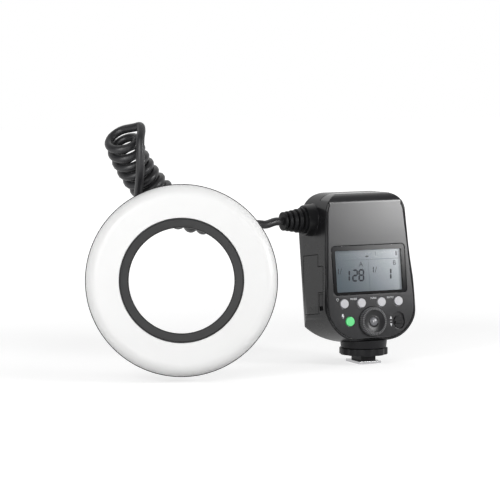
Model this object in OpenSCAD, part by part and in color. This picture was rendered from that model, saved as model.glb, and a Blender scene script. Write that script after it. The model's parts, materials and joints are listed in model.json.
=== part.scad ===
// Macro ring flash: a flash head that rings the front of a lens, a curly cord, and a control
// unit with a shoe foot. Millimetres, +Z up, origin under the middle of the shoe plate,
// control panel towards -Y.

/* [Control unit] */
// Widest width of the case, low down
case_w = 76.4; // [74:0.2:82]
// Width of the case at its top
case_top_w = 67; // [64:0.2:72]
// Height of the case along its lean
case_h = 110; // [108:0.2:118]
// Depth of the case from panel to nose
case_d = 53; // [52:0.5:58]
// Lean of the case away from the panel side, degrees
case_lean = 8; // [4:0.5:10]
// Rise of the roof towards the nose, degrees
roof_tilt = 6.5; // [4:0.5:8]
// Wall thickness of the mouldings
wall = 2.4; // [2:0.1:2.8]
// Radius of the upper corners
top_r = 14; // [13:0.2:16]
// Radius of the lower corners
bottom_r = 27.2; // [24:0.2:30]
// Rounding of the rim round the panel
rim_r = 3; // [2.4:0.1:4]
// Rounding of the panel over the top
crown_r = 8; // [6:0.5:11]
// Width of the rim left round the panel cover
seam_inset = 2; // [1.6:0.1:2.4]

/* [Panel] */
// Width of the display window
window_w = 61.6; // [54:0.2:62]
// Height of the display window
window_h = 36.6; // [32:0.2:38]
// Height of the window centre above the case bottom
window_z = 53.2; // [52:0.2:58]
// Thickness of the display window
window_t = 1.4; // [1:0.1:1.6]
// Diameter of the function buttons
button_d = 6.8; // [5.6:0.1:7.4]
// Half the spacing of the two inner function buttons
button_in_x = 8.4; // [7:0.2:9]
// Half the spacing of the two outer function buttons
button_out_x = 22.8; // [20:0.2:24]
// Height of the function buttons above the case bottom
button_z = 28.6; // [27.6:0.1:29.4]
// Press of every button
button_press = 0.7; // [0.4:0.1:0.8]
// Diameter of the test button
test_d = 7; // [5.6:0.1:7.2]
// Sideways place of the test button
test_x = -18.8; // [-20:0.2:-17]
// Diameter of the dial
dial_d = 21.4; // [18:0.2:21.8]
// Height of the dial centre above the case bottom
dial_z = 14.4; // [13.8:0.1:15]
// Rise of the dial over the panel
dial_rise = 3.5; // [2.5:0.1:4.5]
// Ribs round the dial
dial_ribs = 60; // [36:2:72]
// Diameter of the button in the dial
set_d = 6.6; // [5.4:0.1:7]
// Sideways place of the power switch
switch_x = 22.4; // [20.5:0.2:23]
// Travel of the power switch
switch_travel = 2.8; // [1.6:0.1:3]

/* [Battery] */
// Height of the battery bay
battery_h = 43.6; // [36:0.2:46]
// Height of the bay floor above the case bottom
battery_z = 22.6; // [20:0.2:24]
// Length of the battery pack behind its cap
battery_l = 58; // [48:0.5:60]
// Travel of the battery latch
latch_travel = 2.6; // [1.5:0.1:2.8]

/* [Shoe foot] */
// Width of the shoe plate
plate_w = 18.6; // [18.2:0.1:18.8]
// Depth of the shoe plate
plate_l = 22; // [18:0.5:24]
// Thickness of the shoe plate
plate_t = 2; // [1.6:0.1:2.1]
// Width of the neck between the rails
neck_w = 12.3; // [11:0.1:12.4]
// Diameter of the lock ring
lock_d = 36.2; // [32:0.2:40]
// Thickness of the lock ring
lock_t = 5; // [4:0.1:5.2]
// Height of the lock ring when slack
lock_z = 6.4; // [6.2:0.1:7]
// Drop of the lock pin when the ring is tightened
lock_drop = 1.2; // [0.6:0.1:1.4]

/* [Ring head] */
// Outer diameter of the ring
ring_d = 138; // [132:0.5:144]
// Thickness of the ring
ring_t = 26; // [25:0.5:32]
// Diameter of the lens opening at the back
lens_d = 76; // [72:0.2:77.2]
// Diameter of the black baffle at the front
baffle_d = 89; // [87.4:0.2:91]
// Rounding of the diffuser's outer edge
dome_r = 9; // [6:0.5:10]
// Travel of the lens release buttons
release_travel = 1.8; // [1:0.1:2]

/* [Cord] */
// Diameter of the cord
cord_d = 6.2; // [5.4:0.1:6.3]
// Radius of the coil, to the middle of the cord
coil_r = 10.7; // [10:0.1:11]
// Space between the turns where the coil is straight
turn_gap = 0.65; // [0.6:0.05:0.8]

/* [Clearances] */
// Gap round pieces that slide or press
slide_gap = 0.3; // [0.2:0.05:0.4]
// Gap round pieces that turn
turn_clear = 0.08; // [0.05:0.01:0.1]
// Gap between pieces that are fixed to each other
fit_gap = 0.1; // [0.05:0.05:0.2]

/* [Hidden] */
$fn = 64;

// Place of the case: its panel plane and bottom edge over the foot
panel_y = -16.1;
case_z = 17.8;
// Nose: where the sides and the bottom start to close in, their bows, and the slope behind the roof.
// The roof's roundings stand out by roof_lap and its sides by flare, so no two faces only touch.
nose_y = case_d - 27;
nose_r = 45;
low_bow_y = case_d - 39;
low_bow_r = 40;
roof_h = case_h * cos(roof_tilt);
roof_r = 8;
roof_y = case_d - 26;
back_slope = 31;
roof_lap = 0.15;
flare = 5;
// Depths behind the panel face
board_y = 9;
board_t = 1.6;
frame_y = window_t + 1;
module_y = frame_y + 0.2;
flange_y = wall + slide_gap;
stem_end = 6.2;
tact_y = stem_end + button_press + 0.1;
hub_y = 4;
hub_d = 11.6;
dial_sink = 1;
set_pocket = dial_sink + 0.5;
set_base = set_pocket - button_press - slide_gap;
set_stem = 8.1;
set_tact_y = set_stem + button_press + 0.1;
stem_d = 3;
test_z = dial_z + 0.9;
// Power switch
switch_z = 14.2;
slot_w = 9.2;
slot_h = 9.2 + switch_travel + 2 * slide_gap;
slide_w = slot_w - 4 * slide_gap;
slide_h = slide_w + 1.2;
switch_sink = 1.5;
// Battery bay seen from the left: depth from the panel, height from the case bottom
bay_front = 36;
bay_low = 12.5;
bay_wide = 4.6;
bay_high = 13;
bay_step_low = battery_z + 15.6;
bay_step_high = battery_z + battery_h - 9;
cap_in = case_w / 2 - 5;
pack_y0 = 13.2;
pack_y1 = 35;
contact_back = 2.2;
latch_y0 = 4.8;
latch_w = 5.2;
latch_z1 = bay_step_low - 1.4;
latch_h = 9;
latch_pocket = 1.7;
// Storage capacitor, above the battery pack
store_r = 14;
store_l = 44;
store_gap = 1;
store_y = board_y + board_t + store_r + 0.2;
store_z = battery_z + battery_h - 2 + store_gap + store_r;
// Screws and red window on the nose
screw_x = 20;
screw_low = 36;
screw_high = case_h - 37;
screw_face = case_d - 0.2;
screw_places = [for (x = [-screw_x, screw_x], z = [screw_low, screw_high]) [x, z]];
red_z = (screw_low + screw_high) / 2;
red_w = 24;
red_h = 11;
// Posts of the main board
board_post_x = 28;
board_post_z = case_h / 2 + 28;
// Cord outlet on the left of the case
outlet_y = 23.5;
outlet_z = case_h - 17.4;
boss_r = 13;
boss_out = 40.7;
relief_l = 17.3;
// Foot
boss_d = 22;
boss_top = lock_z + lock_t + 1.7;
neck_l = 15.6;
collar_low_d = 34;
collar_top_d = 36;
pin_y = 5.9;
pin_d = 2.2;
contact_d = 2;
contact_press = 0.7;
contacts = [[0, -0.6], [-3.9, -4], [3.9, -4], [-3.9, 1.6], [3.9, 1.6]];
// Ring head: the back face centre, turned to the left and tipped up
ring_pos = [-155.5, -12.8, 69.8];
ring_turn = 24.7;
ring_tip = 6.1;
ring_out = ring_d / 2;
ring_back_r = ring_out - 5;
lens_r = lens_d / 2;
tube_r = lens_r + 2.4;
flange_r = lens_r + 7;
mount_top = 9;
housing_lip = 16;
lead_x = -31.2;
lead_relief_l = 10;
lead_y = ring_out - 13 - lead_relief_l;
lead_z = -6.4;
lead_boss = 10;
plate_low = 3.9;
plate_high = 5.5;
slide_t = 1.2;
slide_r = ring_out - 16.5;
spring_y = 10.5;
spring_d = 2.6;
post_x = slide_r + 4;
release_w = 14;
release_z0 = 3.2;
release_z1 = 8.6;
tube_path_r = (ring_out + baffle_d / 2) / 2;
board_z = 7.4;
reflector_z = 9.2;

// Outline of the case seen from the panel side: two low and two high corner arcs
function low_corner() = [case_w / 2 - bottom_r, bottom_r];
function high_corner() = [case_top_w / 2 - top_r, roof_h - top_r];
function side_angle() = let (d = high_corner() - low_corner())
    atan2(d[1], d[0]) - acos((bottom_r - top_r) / norm(d));
function side_normal() = [cos(side_angle()), sin(side_angle())];
function side_way() = [-sin(side_angle()), cos(side_angle())];

// Half of a symmetrical outline, completed by its mirror image
module both_halves(half) {
    polygon(concat(half, [for (i = [len(half) - 1:-1:0]) [-half[i][0], half[i][1]]]));
}

// The low corners, with sides that run on upwards
module low_outline(inset = 0) {
    lo = low_corner();
    r = bottom_r - inset;
    side = lo + r * side_normal();
    for (s = [-1, 1]) translate([s * lo[0], lo[1]]) circle(r);
    both_halves([[lo[0], lo[1] - r], side, side + 1.4 * case_h * side_way()]);
}

// The high corners, with sides that run on downwards and outwards
module high_outline(inset = 0) {
    hi = high_corner();
    r = top_r - inset;
    a = side_angle() + flare;
    side = hi + r * [cos(a), sin(a)];
    for (s = [-1, 1]) translate([s * hi[0], hi[1]]) circle(r);
    both_halves([side - 1.4 * case_h * [-sin(a), cos(a)], side, [hi[0], hi[1] + r]]);
}

module case_outline(inset = 0) {
    intersection() {
        low_outline(inset);
        high_outline(inset);
    }
}

// Case seen from above: rim rounding at the panel, then sides that close in towards the nose
module case_plan(inset = 0) {
    half = case_w / 2 - inset;
    deep_end = case_d - inset;
    r = max(rim_r - inset, 0.5);
    bow = nose_r - inset;
    intersection() {
        union() {
            translate([-half, inset + r]) square([2 * half, deep_end - inset - r]);
            translate([-half + r, inset]) square([2 * half - 2 * r, r + 1]);
            for (s = [-1, 1]) translate([s * (half - r), inset + r]) circle(r);
        }
        nose_side(half - bow, bow);
        mirror([1, 0]) nose_side(half - bow, bow);
    }
}

// What the nose leaves on one side: all of the straight stretch, then a bowed edge
module nose_side(x, bow) {
    translate([x, nose_y]) circle(bow, $fn = 180);
    translate([-case_w, -1]) square([2 * case_w, nose_y + 1]);
    translate([-case_w, 0]) square([case_w + x, case_d]);
}

// Case seen from the side, depth then height: crown at the top front, slope and bow at the back
module case_side(inset = 0) {
    intersection() {
        front_side(inset);
        roof_side(inset);
        low_side(inset);
    }
}

// Rounding of the front edges; the roof above is left open
module front_side(inset) {
    r = max(rim_r - inset, 0.5);
    c = crown_r - inset;
    y = inset + c;
    z = (roof_h - inset - c + y * sin(roof_tilt)) / cos(roof_tilt) + roof_lap;
    touch = y - c * sin(roof_tilt);
    translate([touch, inset]) square([case_d - inset - touch, case_h + 20]);
    translate([inset, inset + r]) square([c, z - inset - r]);
    translate([y, z]) circle(c);
    translate([inset + r, inset + r]) circle(r);
    translate([inset + r, inset]) square([c, r + 1]);
}

// What the slope behind the roof leaves
module roof_side(inset) {
    r = roof_r - inset;
    mid = [roof_y, (roof_h - roof_r + roof_y * sin(roof_tilt)) / cos(roof_tilt) + roof_lap];
    up = mid + r * [-sin(roof_tilt), cos(roof_tilt)];
    back = mid + r * [cos(back_slope), sin(back_slope)];
    far = back + case_h * [sin(back_slope), -cos(back_slope)];
    translate([-case_h, -case_h]) square([case_h + up[0], 3 * case_h]);
    translate(mid) circle(r);
    polygon([up, back, far, [far[0], -case_h], [0, -case_h], [0, up[1] - roof_y]]);
}

// What the bow under the nose leaves
module low_side(inset) {
    bow = low_bow_r - inset;
    translate([low_bow_y, inset + bow]) circle(bow, $fn = 180);
    translate([-1, -1]) square([low_bow_y + 1, case_h + 30]);
    translate([-1, inset + bow]) square([case_d + 2, case_h]);
}

module case_solid(inset = 0) {
    intersection() {
        deep(0, 0, -5, case_d + 5) low_outline(inset);
        rotate([roof_tilt, 0, 0]) deep(0, 0, -20, case_d + 25) high_outline(inset);
        translate([0, 0, -5]) linear_extrude(case_h + 20) case_plan(inset);
        across(-case_w, case_w) case_side(inset);
    }
}

module in_case() {
    translate([0, panel_y, case_z]) rotate([-case_lean, 0, 0]) children();
}

// A straight piece along the depth of the case, from depth y0 to depth y1
module deep(x, z, y0, y1) {
    translate([x, y1, z]) rotate([90, 0, 0]) linear_extrude(y1 - y0) children();
}

module rounded(w, h, r) {
    square([w - 2 * r, h], center = true);
    square([w, h - 2 * r], center = true);
    for (sx = [-1, 1], sy = [-1, 1]) translate([sx * (w / 2 - r), sy * (h / 2 - r)]) circle(r);
}

// The part of the case that the panel cover takes up: the panel and the crown above it
module cover_zone(grow = 0) {
    deep(0, 0, -1, wall + grow) case_outline(seam_inset - grow);
    half = case_top_w / 2 - seam_inset + grow - 1.4;
    translate([-half, -1, case_h - crown_r - 4 - grow]) cube([2 * half, crown_r + 7 + grow, 30]);
}

// The bay opening seen from the left, grown all round by g
function bay_outline(g) = [[bay_front + g, battery_z - g], [bay_low - g, battery_z - g],
    [bay_low - g, bay_step_low - g], [bay_wide - g, bay_step_low - g], [bay_wide - g, bay_step_high + g],
    [bay_high - g, bay_step_high + g], [bay_high - g, battery_z + battery_h + g],
    [bay_front + g, battery_z + battery_h + g]];

// A straight piece across the case, from x0 to x1, drawn in depth and height
module across(x0, x1) {
    translate([x0, 0, 0]) rotate([90, 0, 90]) linear_extrude(x1 - x0) children();
}

// A round piece along the width of the case, from x
module along_left(x, y, z) {
    translate([x, y, z]) rotate([0, 90, 0]) children();
}

module outlet_boss() {
    along_left(-boss_out, outlet_y, outlet_z) cylinder(h = boss_out - 26, r1 = boss_r - 1.6, r2 = boss_r);
}

module case_shell() color("#3a3b3e") in_case() difference() {
    union() {
        difference() {
            union() {
                case_solid();
                outlet_boss();
            }
            case_solid(wall);
            cover_zone(0.25);
            along_left(-boss_out - 1, outlet_y, outlet_z) cylinder(h = 5, r = 7.6);
        }
        for (p = screw_places) deep(p[0], p[1], case_d - 12, case_d - 1.5) circle(3.6);
        for (x = [-board_post_x, board_post_x])
            deep(x, board_post_z, board_y + board_t, case_d - 5) circle(2.4);
    }
    across(-case_w, -case_w / 4) polygon(bay_outline(slide_gap));
    across(-case_w, latch_pocket - case_w / 2)
        translate([latch_y0 - slide_gap, latch_z1 - latch_h - latch_travel - 2 * slide_gap])
        square([latch_w + 2 * slide_gap, latch_h + latch_travel + 3 * slide_gap]);
    deep(0, red_z, case_d - 8, case_d + 1) rounded(red_w + 2 * fit_gap, red_h + 2 * fit_gap, 3);
    for (p = screw_places) {
        deep(p[0], p[1], screw_face - 1.4, case_d + 1) circle(2.7);
        deep(p[0], p[1], case_d - 11, case_d) circle(1.45);
    }
}

module panel_cover() color("#45464a") in_case() difference() {
    intersection() {
        case_solid();
        cover_zone();
    }
    case_solid(wall);
    deep(0, window_z, -2, window_t) rounded(window_w + 2 * fit_gap, window_h + 2 * fit_gap, 3);
    deep(0, window_z, -2, wall + 1) rounded(window_w - 3.2, window_h - 3.2, 1.6);
    for (x = [-button_out_x, -button_in_x, button_in_x, button_out_x])
        deep(x, button_z, -2, wall + 1) circle(button_d / 2 + slide_gap);
    deep(test_x, test_z, -2, wall + 1) circle(test_d / 2 + slide_gap);
    deep(0, dial_z, -2, dial_sink + 0.2) circle(dial_d / 2 + 0.4);
    deep(0, dial_z, -2, wall + 1) circle(hub_d / 2 + turn_clear);
    deep(switch_x, switch_z, -2, switch_sink) rounded(slot_w, slot_h, slot_w / 2 - 0.01);
    deep(switch_x, switch_z, -2, wall + 1) square([3.4, switch_travel + 3.4], center = true);
}

module lcd_window() color("#20242a") in_case()
    deep(0, window_z, 0.1, window_t) rounded(window_w, window_h, 2.9);

module lcd_frame() color("#141416") in_case() difference() {
    deep(0, window_z, window_t, frame_y) rounded(window_w - 3.4, window_h - 3.4, 1.5);
    deep(0, window_z - 0.7, 0, board_y) rounded(window_w - 6, window_h - 5.8, 0.8);
}

module lcd_module() color("#9fb0c8") in_case()
    deep(0, window_z, frame_y, board_y - 0.2) rounded(window_w - 3.6, window_h - 3.6, 1);

module main_board() color("#2f5f3f") in_case() difference() {
    deep(0, case_h / 2 + 4, board_y, board_y + board_t) rounded(case_top_w - 7, case_h - 28, 6);
    deep(0, dial_z, board_y - 1, board_y + board_t + 1) circle(1.6);
}

module tact_switches() color("#202020") in_case() {
    for (x = [-button_out_x, -button_in_x, button_in_x, button_out_x])
        deep(x, button_z, tact_y, board_y) rounded(5, 5, 0.5);
    deep(test_x, test_z, tact_y, board_y) rounded(5, 5, 0.5);
}

module dial_encoder() color("#6a6c70") in_case() difference() {
    deep(0, dial_z, hub_y + slide_gap, board_y) circle(6.4);
    deep(0, dial_z, 0, set_tact_y) circle(2.4);
}

module slide_switch() color("#5a5c60") in_case() difference() {
    deep(switch_x, switch_z, 4.2, board_y) rounded(6.4, 12, 0.6);
    deep(switch_x, switch_z, 0, 6.4) square([3.4, switch_travel + 3.4], center = true);
}

module flash_capacitor() color("#1c2440") in_case()
    along_left(1 - store_l / 2, store_y, store_z) cylinder(h = store_l, r = store_r);

module battery_contacts() color("#c9a64a") in_case()
    across(battery_l - cap_in + 0.2, case_w / 2 - wall - contact_back)
    translate([(pack_y0 + pack_y1) / 2 - 1.1, battery_z + battery_h / 2]) rounded(14, 12, 1);

module af_window() color("#5a0f14") in_case()
    deep(0, red_z, case_d - 2.6, case_d - 0.1) rounded(red_w, red_h, 2.9);

module case_screws() color("#6c6e72") in_case() for (p = screw_places) {
    deep(p[0], p[1], screw_face - 1.4, screw_face) circle(2.5);
    deep(p[0], p[1], case_d - 10.5, screw_face - 1.4) circle(1.4);
}

// Ribs of a strain relief: distance from its base, length, radius
function relief_ribs(l) = [[0, 0.13 * l, 9.8], [0.19 * l, 0.18 * l, 8.9], [0.43 * l, 0.17 * l, 8.1],
    [0.66 * l, 0.15 * l, 7.5], [0.89 * l, 0.11 * l, 7]];

module strain_relief(l, k) rotate_extrude() {
    polygon([[0, 0], [cord_d * 0.9, 0], [cord_d * 0.68, l], [0, l]]);
    for (b = relief_ribs(l)) translate([0, b[0]]) square([b[2] * k, b[1]]);
}

module unit_strain_relief() color("#161618") in_case()
    translate([-boss_out, outlet_y, outlet_z]) rotate([0, -90, 0]) {
    strain_relief(relief_l, 1);
    translate([0, 0, -3.8]) cylinder(h = 3.8, r = 7.5);
}

module foot_collar() color("#242527") difference() {
    translate([0, 0, lock_z + lock_t + slide_gap]) cylinder(h = 9, d1 = collar_low_d, d2 = collar_top_d);
    in_case() deep(0, 0, -20, low_bow_y) low_outline();
    in_case() case_solid();
    translate([0, 0, lock_z]) cylinder(h = boss_top + fit_gap - lock_z, d = boss_d + 2 * fit_gap);
}

module shoe_foot() color("#1b1c1e") difference() {
    union() {
        translate([0, 0, lock_z]) cylinder(h = boss_top - lock_z, d = boss_d);
        translate([-neck_w / 2, -neck_l / 2, 0]) cube([neck_w, neck_l, lock_z + 1]);
    }
    for (c = contacts) {
        translate([c[0], c[1], -1]) cylinder(h = 6.2, d = contact_d + 0.3);
        translate([c[0], c[1], 2.2]) cylinder(h = 4, d = contact_d + 1.1);
    }
    translate([0, pin_y, -1]) cylinder(h = lock_z + lock_t + 0.6, d = pin_d + 0.4);
}

module shoe_plate() color("#d8d9da") difference() {
    translate([-plate_w / 2, -plate_l / 2, 0]) cube([plate_w, plate_l, plate_t]);
    translate([-neck_w / 2 - fit_gap, -neck_l / 2 - fit_gap, -1])
        cube([neck_w + 2 * fit_gap, neck_l + 2 * fit_gap, plate_t + 2]);
}

module press_button(x, z, d, rise) {
    deep(x, z, -rise, 2) circle(d / 2);
    deep(x, z, 1.8, flange_y) circle(d / 2 - 0.2);
    deep(x, z, flange_y, flange_y + 0.8) circle(d / 2 + 0.9);
    deep(x, z, flange_y, stem_end) circle(stem_d / 2);
}

module function_button_1() color("#c8c8cc") in_case() press_button(-button_out_x, button_z, button_d, 1);
module function_button_2() color("#c8c8cc") in_case() press_button(-button_in_x, button_z, button_d, 1);
module function_button_3() color("#c8c8cc") in_case() press_button(button_in_x, button_z, button_d, 1);
module function_button_4() color("#c8c8cc") in_case() press_button(button_out_x, button_z, button_d, 1);
module test_button() color("#62d884") in_case() press_button(test_x, test_z, test_d, 0.8);

module control_dial() color("#3c3d41") in_case() translate([0, 0, dial_z]) rotate([90, 0, 0]) {
    body_r = dial_d / 2 - 0.35;
    stem_r = stem_d / 2 + slide_gap;
    pocket_r = set_d / 2 + slide_gap;
    rotate_extrude() polygon([[stem_r, -hub_y], [hub_d / 2, -hub_y], [hub_d / 2, -dial_sink],
        [body_r, -dial_sink], [body_r, dial_rise - 0.6], [body_r - 0.6, dial_rise], [body_r - 1.4, dial_rise],
        [body_r - 3.2, dial_rise - 0.9], [pocket_r, dial_rise - 0.9], [pocket_r, -set_pocket],
        [stem_r, -set_pocket]]);
    translate([0, 0, -dial_sink + 0.4]) linear_extrude(dial_sink + dial_rise - 1.4)
        for (i = [0:dial_ribs - 1]) rotate((i + 0.5) * 360 / dial_ribs)
            translate([body_r - 0.6, -0.32]) square([0.95, 0.64]);
}

module set_button() color("#b9babd") in_case() {
    deep(0, dial_z, -dial_rise + 0.5, set_base) circle(set_d / 2);
    deep(0, dial_z, set_base, set_stem) circle(stem_d / 2);
}

module power_switch() color("#2b2c2f") in_case() translate([0, 0, switch_z - switch_travel / 2]) {
    deep(switch_x, 0, 0.2, switch_sink - 0.2) rounded(slide_w, slide_h, slide_w / 2 - 0.01);
    deep(switch_x, 0, -0.9, 0.3) rounded(slide_w - 1.4, 2, 0.6);
    deep(switch_x, 0, 0.3, 6) square([2.6, 2.6], center = true);
}

module battery_pack() color("#37383b") in_case() {
    intersection() {
        case_solid();
        across(-case_w, -cap_in) polygon(bay_outline(0));
    }
    across(-cap_in - 0.2, battery_l - cap_in)
        translate([(pack_y0 + pack_y1) / 2, battery_z + battery_h / 2])
        rounded(pack_y1 - pack_y0, battery_h - 4, 2.4);
}

module battery_latch() color("#2e2f32") in_case() intersection() {
    case_solid();
    across(-case_w, latch_pocket - slide_gap - case_w / 2)
        translate([latch_y0, latch_z1 - latch_h]) square([latch_w, latch_h]);
}

module lock_ring() color("#1d1e20") difference() {
    translate([0, 0, lock_z]) cylinder(h = lock_t, d = lock_d);
    translate([0, 0, lock_z - 1]) cylinder(h = lock_t + 2, d = boss_d + 2 * turn_clear);
    for (i = [0:9]) rotate([0, 0, 36 * i + 18])
        translate([lock_d / 2 + 7.2, 0, lock_z - 1]) cylinder(h = lock_t + 2, r = 8);
}

module lock_pin() color("#b8babd") translate([0, pin_y, 0.2]) cylinder(h = lock_z + lock_t - 1.6, d = pin_d);

module contact_pins() color("#d9b656") for (c = contacts) translate([c[0], c[1], 0]) {
    translate([0, 0, -contact_press]) cylinder(h = contact_press + 4.2, d = contact_d);
    translate([0, 0, 2.4]) cylinder(h = 0.6, d = contact_d + 0.6);
}

// The ring head's own frame: back face at zero, front towards +z, its top towards +y
module in_ring() {
    translate(ring_pos) rotate([90 - ring_tip, 0, -ring_turn]) children();
}

module hoop(points) {
    rotate_extrude($fn = 96) polygon(points);
}

ring_bolts = [for (a = [30, 150, 210, 330]) (ring_out - 9) * [cos(a), sin(a)]];

module release_window(s) {
    translate([s * (ring_out - 10), -release_w / 2 - slide_gap, release_z0 - slide_gap])
        mirror([s < 0 ? 1 : 0, 0, 0])
        cube([20, release_w + 2 * slide_gap, release_z1 - release_z0 + 2 * slide_gap]);
}

module ring_housing() color("#1f2022") in_ring() difference() {
    union() {
        hoop([[flange_r - 2, 0], [ring_back_r - 3, 0], [ring_back_r, 1.6], [ring_out, housing_lip - 3],
            [ring_out, housing_lip], [ring_out - 2, housing_lip], [ring_out - 2, housing_lip - 3],
            [ring_back_r - 2, 2.2], [flange_r - 2, 2]]);
        translate([lead_x, lead_y - lead_boss / 2, lead_z / 2 + 1])
            cube([15, lead_boss, -lead_z + 2], center = true);
        translate([lead_x, lead_y, lead_z]) rotate([90, 0, 0]) cylinder(h = lead_boss, d = 15);
        for (p = ring_bolts) translate([p[0], p[1], 1.8]) cylinder(h = 4.4, d = 7);
        for (s = [-1, 1]) translate([s * (post_x + 1.25), s * spring_y, 4])
            cube([2.5, 5, 4.4], center = true);
    }
    for (s = [-1, 1]) release_window(s);
    for (p = ring_bolts) translate([p[0], p[1], -1]) {
        cylinder(h = 2.6, d = 4.6);
        cylinder(h = 6.4, d = 2.3);
    }
}

module ring_diffuser() color("#f2f2f0") in_ring() {
    r1 = ring_out - 0.6;
    r0 = baffle_d / 2 + 0.1;
    rotate_extrude($fn = 96) difference() {
        dome(r0, r1, ring_t, dome_r);
        dome(r0 + 1.6, r1 - 2, ring_t - 2, dome_r - 2);
    }
}

module dome(r0, r1, top, r) {
    translate([r0, housing_lip + 0.1]) square([r1 - r0, top - r - housing_lip - 0.1]);
    translate([r0, housing_lip + 0.1]) square([r1 - r - r0, top - housing_lip - 0.1]);
    intersection() {
        translate([r1 - r, top - r]) circle(r);
        translate([r1 - r, top - r]) square([r, r]);
    }
}

module inner_baffle() color("#26272a") in_ring() {
    f = baffle_d / 2;
    hoop([[lens_r + 0.4, mount_top + 0.1], [f - 1.1, ring_t], [f, ring_t], [f, ring_t - 2.4],
        [lens_r + 2.2, mount_top + 0.1]]);
}

module mount_ring() color("#303134") in_ring() difference() {
    hoop([[lens_r, -1.2], [tube_r, -1.2], [tube_r, 2.1], [flange_r, 2.1], [flange_r, 3.6], [tube_r, 3.6],
        [tube_r, mount_top], [lens_r, mount_top]]);
    for (s = [-1, 1]) translate([s * lens_r, 0, 5.4]) cube([12, 10.6, 3.4], center = true);
}

module tube_reflector() color("#e4e6ea") in_ring() {
    a = baffle_d / 2 + 1.6;
    b = ring_out - 3.4;
    m = tube_path_r;
    hoop([[a, housing_lip], [a + 1, housing_lip], [m - 4, reflector_z + 1.2], [m + 4, reflector_z + 1.2],
        [b - 1, housing_lip], [b, housing_lip], [m + 5, reflector_z], [m - 5, reflector_z]]);
}

module flash_tube(a) {
    rotate([0, 0, a]) rotate_extrude(angle = 164) translate([tube_path_r, reflector_z + 4.2]) circle(2.6);
}

module flash_tube_left() color("#cfd8e2") in_ring() flash_tube(98);
module flash_tube_right() color("#cfd8e2") in_ring() flash_tube(-82);

module ring_board() color("#2f5f3f") in_ring() difference() {
    translate([0, 0, board_z]) cylinder(h = 1.6, r = tube_path_r + 3);
    translate([0, 0, board_z - 1]) cylinder(h = 4, r = lens_r + 6.4);
}

// A release slide: its button on one side of the ring, its catch on the other
module release_slide(z) {
    difference() {
        translate([0, 0, z]) cylinder(h = slide_t, r = slide_r);
        for (x = [-release_travel, 0]) translate([x, 0, z - 1]) cylinder(h = 4, r = tube_r + 0.4);
        translate([-release_travel, -tube_r - 0.4, z - 1]) cube([release_travel, 2 * tube_r + 0.8, 4]);
    }
    translate([lens_r + 0.3, -5, z]) cube([6, 10, slide_t]);
    translate([-ring_out + 5, -release_w / 2, z]) cube([ring_out - slide_r - 2, release_w, slide_t]);
    intersection() {
        translate([-ring_out + 0.9, -release_w / 2, release_z0])
            cube([5.6, release_w, release_z1 - release_z0]);
        translate([0, 0, release_z0]) cylinder(h = 20, r = ring_out - 1);
    }
}

module release_left() color("#2a2b2e") in_ring() release_slide(plate_low);
module release_right() color("#2a2b2e") in_ring() rotate([0, 0, 180]) release_slide(plate_high);

module latch_spring(z) {
    e = sqrt(slide_r * slide_r - pow(spring_y + spring_d / 2, 2)) + 0.9;
    translate([e, spring_y, z + slide_t / 2]) rotate([0, 90, 0])
        cylinder(h = post_x - e - 0.05, d = spring_d);
}

module latch_spring_left() color("#a9abae") in_ring() latch_spring(plate_low);
module latch_spring_right() color("#a9abae") in_ring() rotate([0, 0, 180]) latch_spring(plate_high);

module ring_screws() color("#6c6e72") in_ring() for (p = ring_bolts) translate([p[0], p[1], 0.2]) {
    cylinder(h = 1.4, d = 4.4);
    cylinder(h = 5, d = 2.2);
}

module ring_strain_relief() color("#161618") in_ring()
    translate([lead_x, lead_y, lead_z]) rotate([-90, 0, 0]) strain_relief(lead_relief_l, 0.62);

// The cord: hand-set points, a smooth line through them, and a round tube along the line
function spline(a, b, c, d, t) = 0.5 * (2 * b + (c - a) * t + (2 * a - 5 * b + 4 * c - d) * t * t
    + (3 * b - a - 3 * c + d) * t * t * t);
function led(p) = concat([2 * p[0] - p[1]], p, [2 * p[len(p) - 1] - p[len(p) - 2]]);
function smooth_line(p, n) = let (q = led(p)) concat(
    [for (i = [1:len(q) - 3]) for (k = [0:n - 1]) spline(q[i - 1], q[i], q[i + 1], q[i + 2], k / n)],
    [p[len(p) - 1]]);
function running(v) = [for (i = 0, s = 0; i < len(v); s = s + v[i], i = i + 1) s];
function unit(v) = v / norm(v);
function way(p, i) = unit(p[min(i + 1, len(p) - 1)] - p[max(i - 1, 0)]);
function square_to(v, t) = unit(v - (v * t) * t);
function sides_of(p, start) = [for (i = 0, n = square_to(start, way(p, 0)); i < len(p);
    i = i + 1, n = i < len(p) ? square_to(n, way(p, i)) : n) n];

module tube(p, d, sides, start) {
    n = sides_of(p, start);
    rings = [for (i = [0:len(p) - 1]) let (t = way(p, i), m = cross(t, n[i]))
        for (k = [0:sides - 1]) p[i] + d / 2 * (cos(360 * k / sides) * n[i] + sin(360 * k / sides) * m)];
    skin = [for (i = [0:len(p) - 2]) for (k = [0:sides - 1]) let (j = (k + 1) % sides)
        each [[i * sides + k, (i + 1) * sides + k, (i + 1) * sides + j],
            [i * sides + k, (i + 1) * sides + j, i * sides + j]]];
    polyhedron(rings, concat([[for (k = [0:sides - 1]) k]], skin,
        [[for (k = [sides - 1:-1:0]) (len(p) - 1) * sides + k]]), convexity = 10);
}

ring_x = [cos(ring_turn), -sin(ring_turn), 0];
ring_z = [-sin(ring_turn) * cos(ring_tip), -cos(ring_turn) * cos(ring_tip), sin(ring_tip)];
ring_y = cross(ring_z, ring_x);
function ring_point(p) = ring_pos + p[0] * ring_x + p[1] * ring_y + p[2] * ring_z;
function case_point(p) = [p[0], panel_y + p[1] * cos(case_lean) + p[2] * sin(case_lean),
    case_z - p[1] * sin(case_lean) + p[2] * cos(case_lean)];

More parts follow.
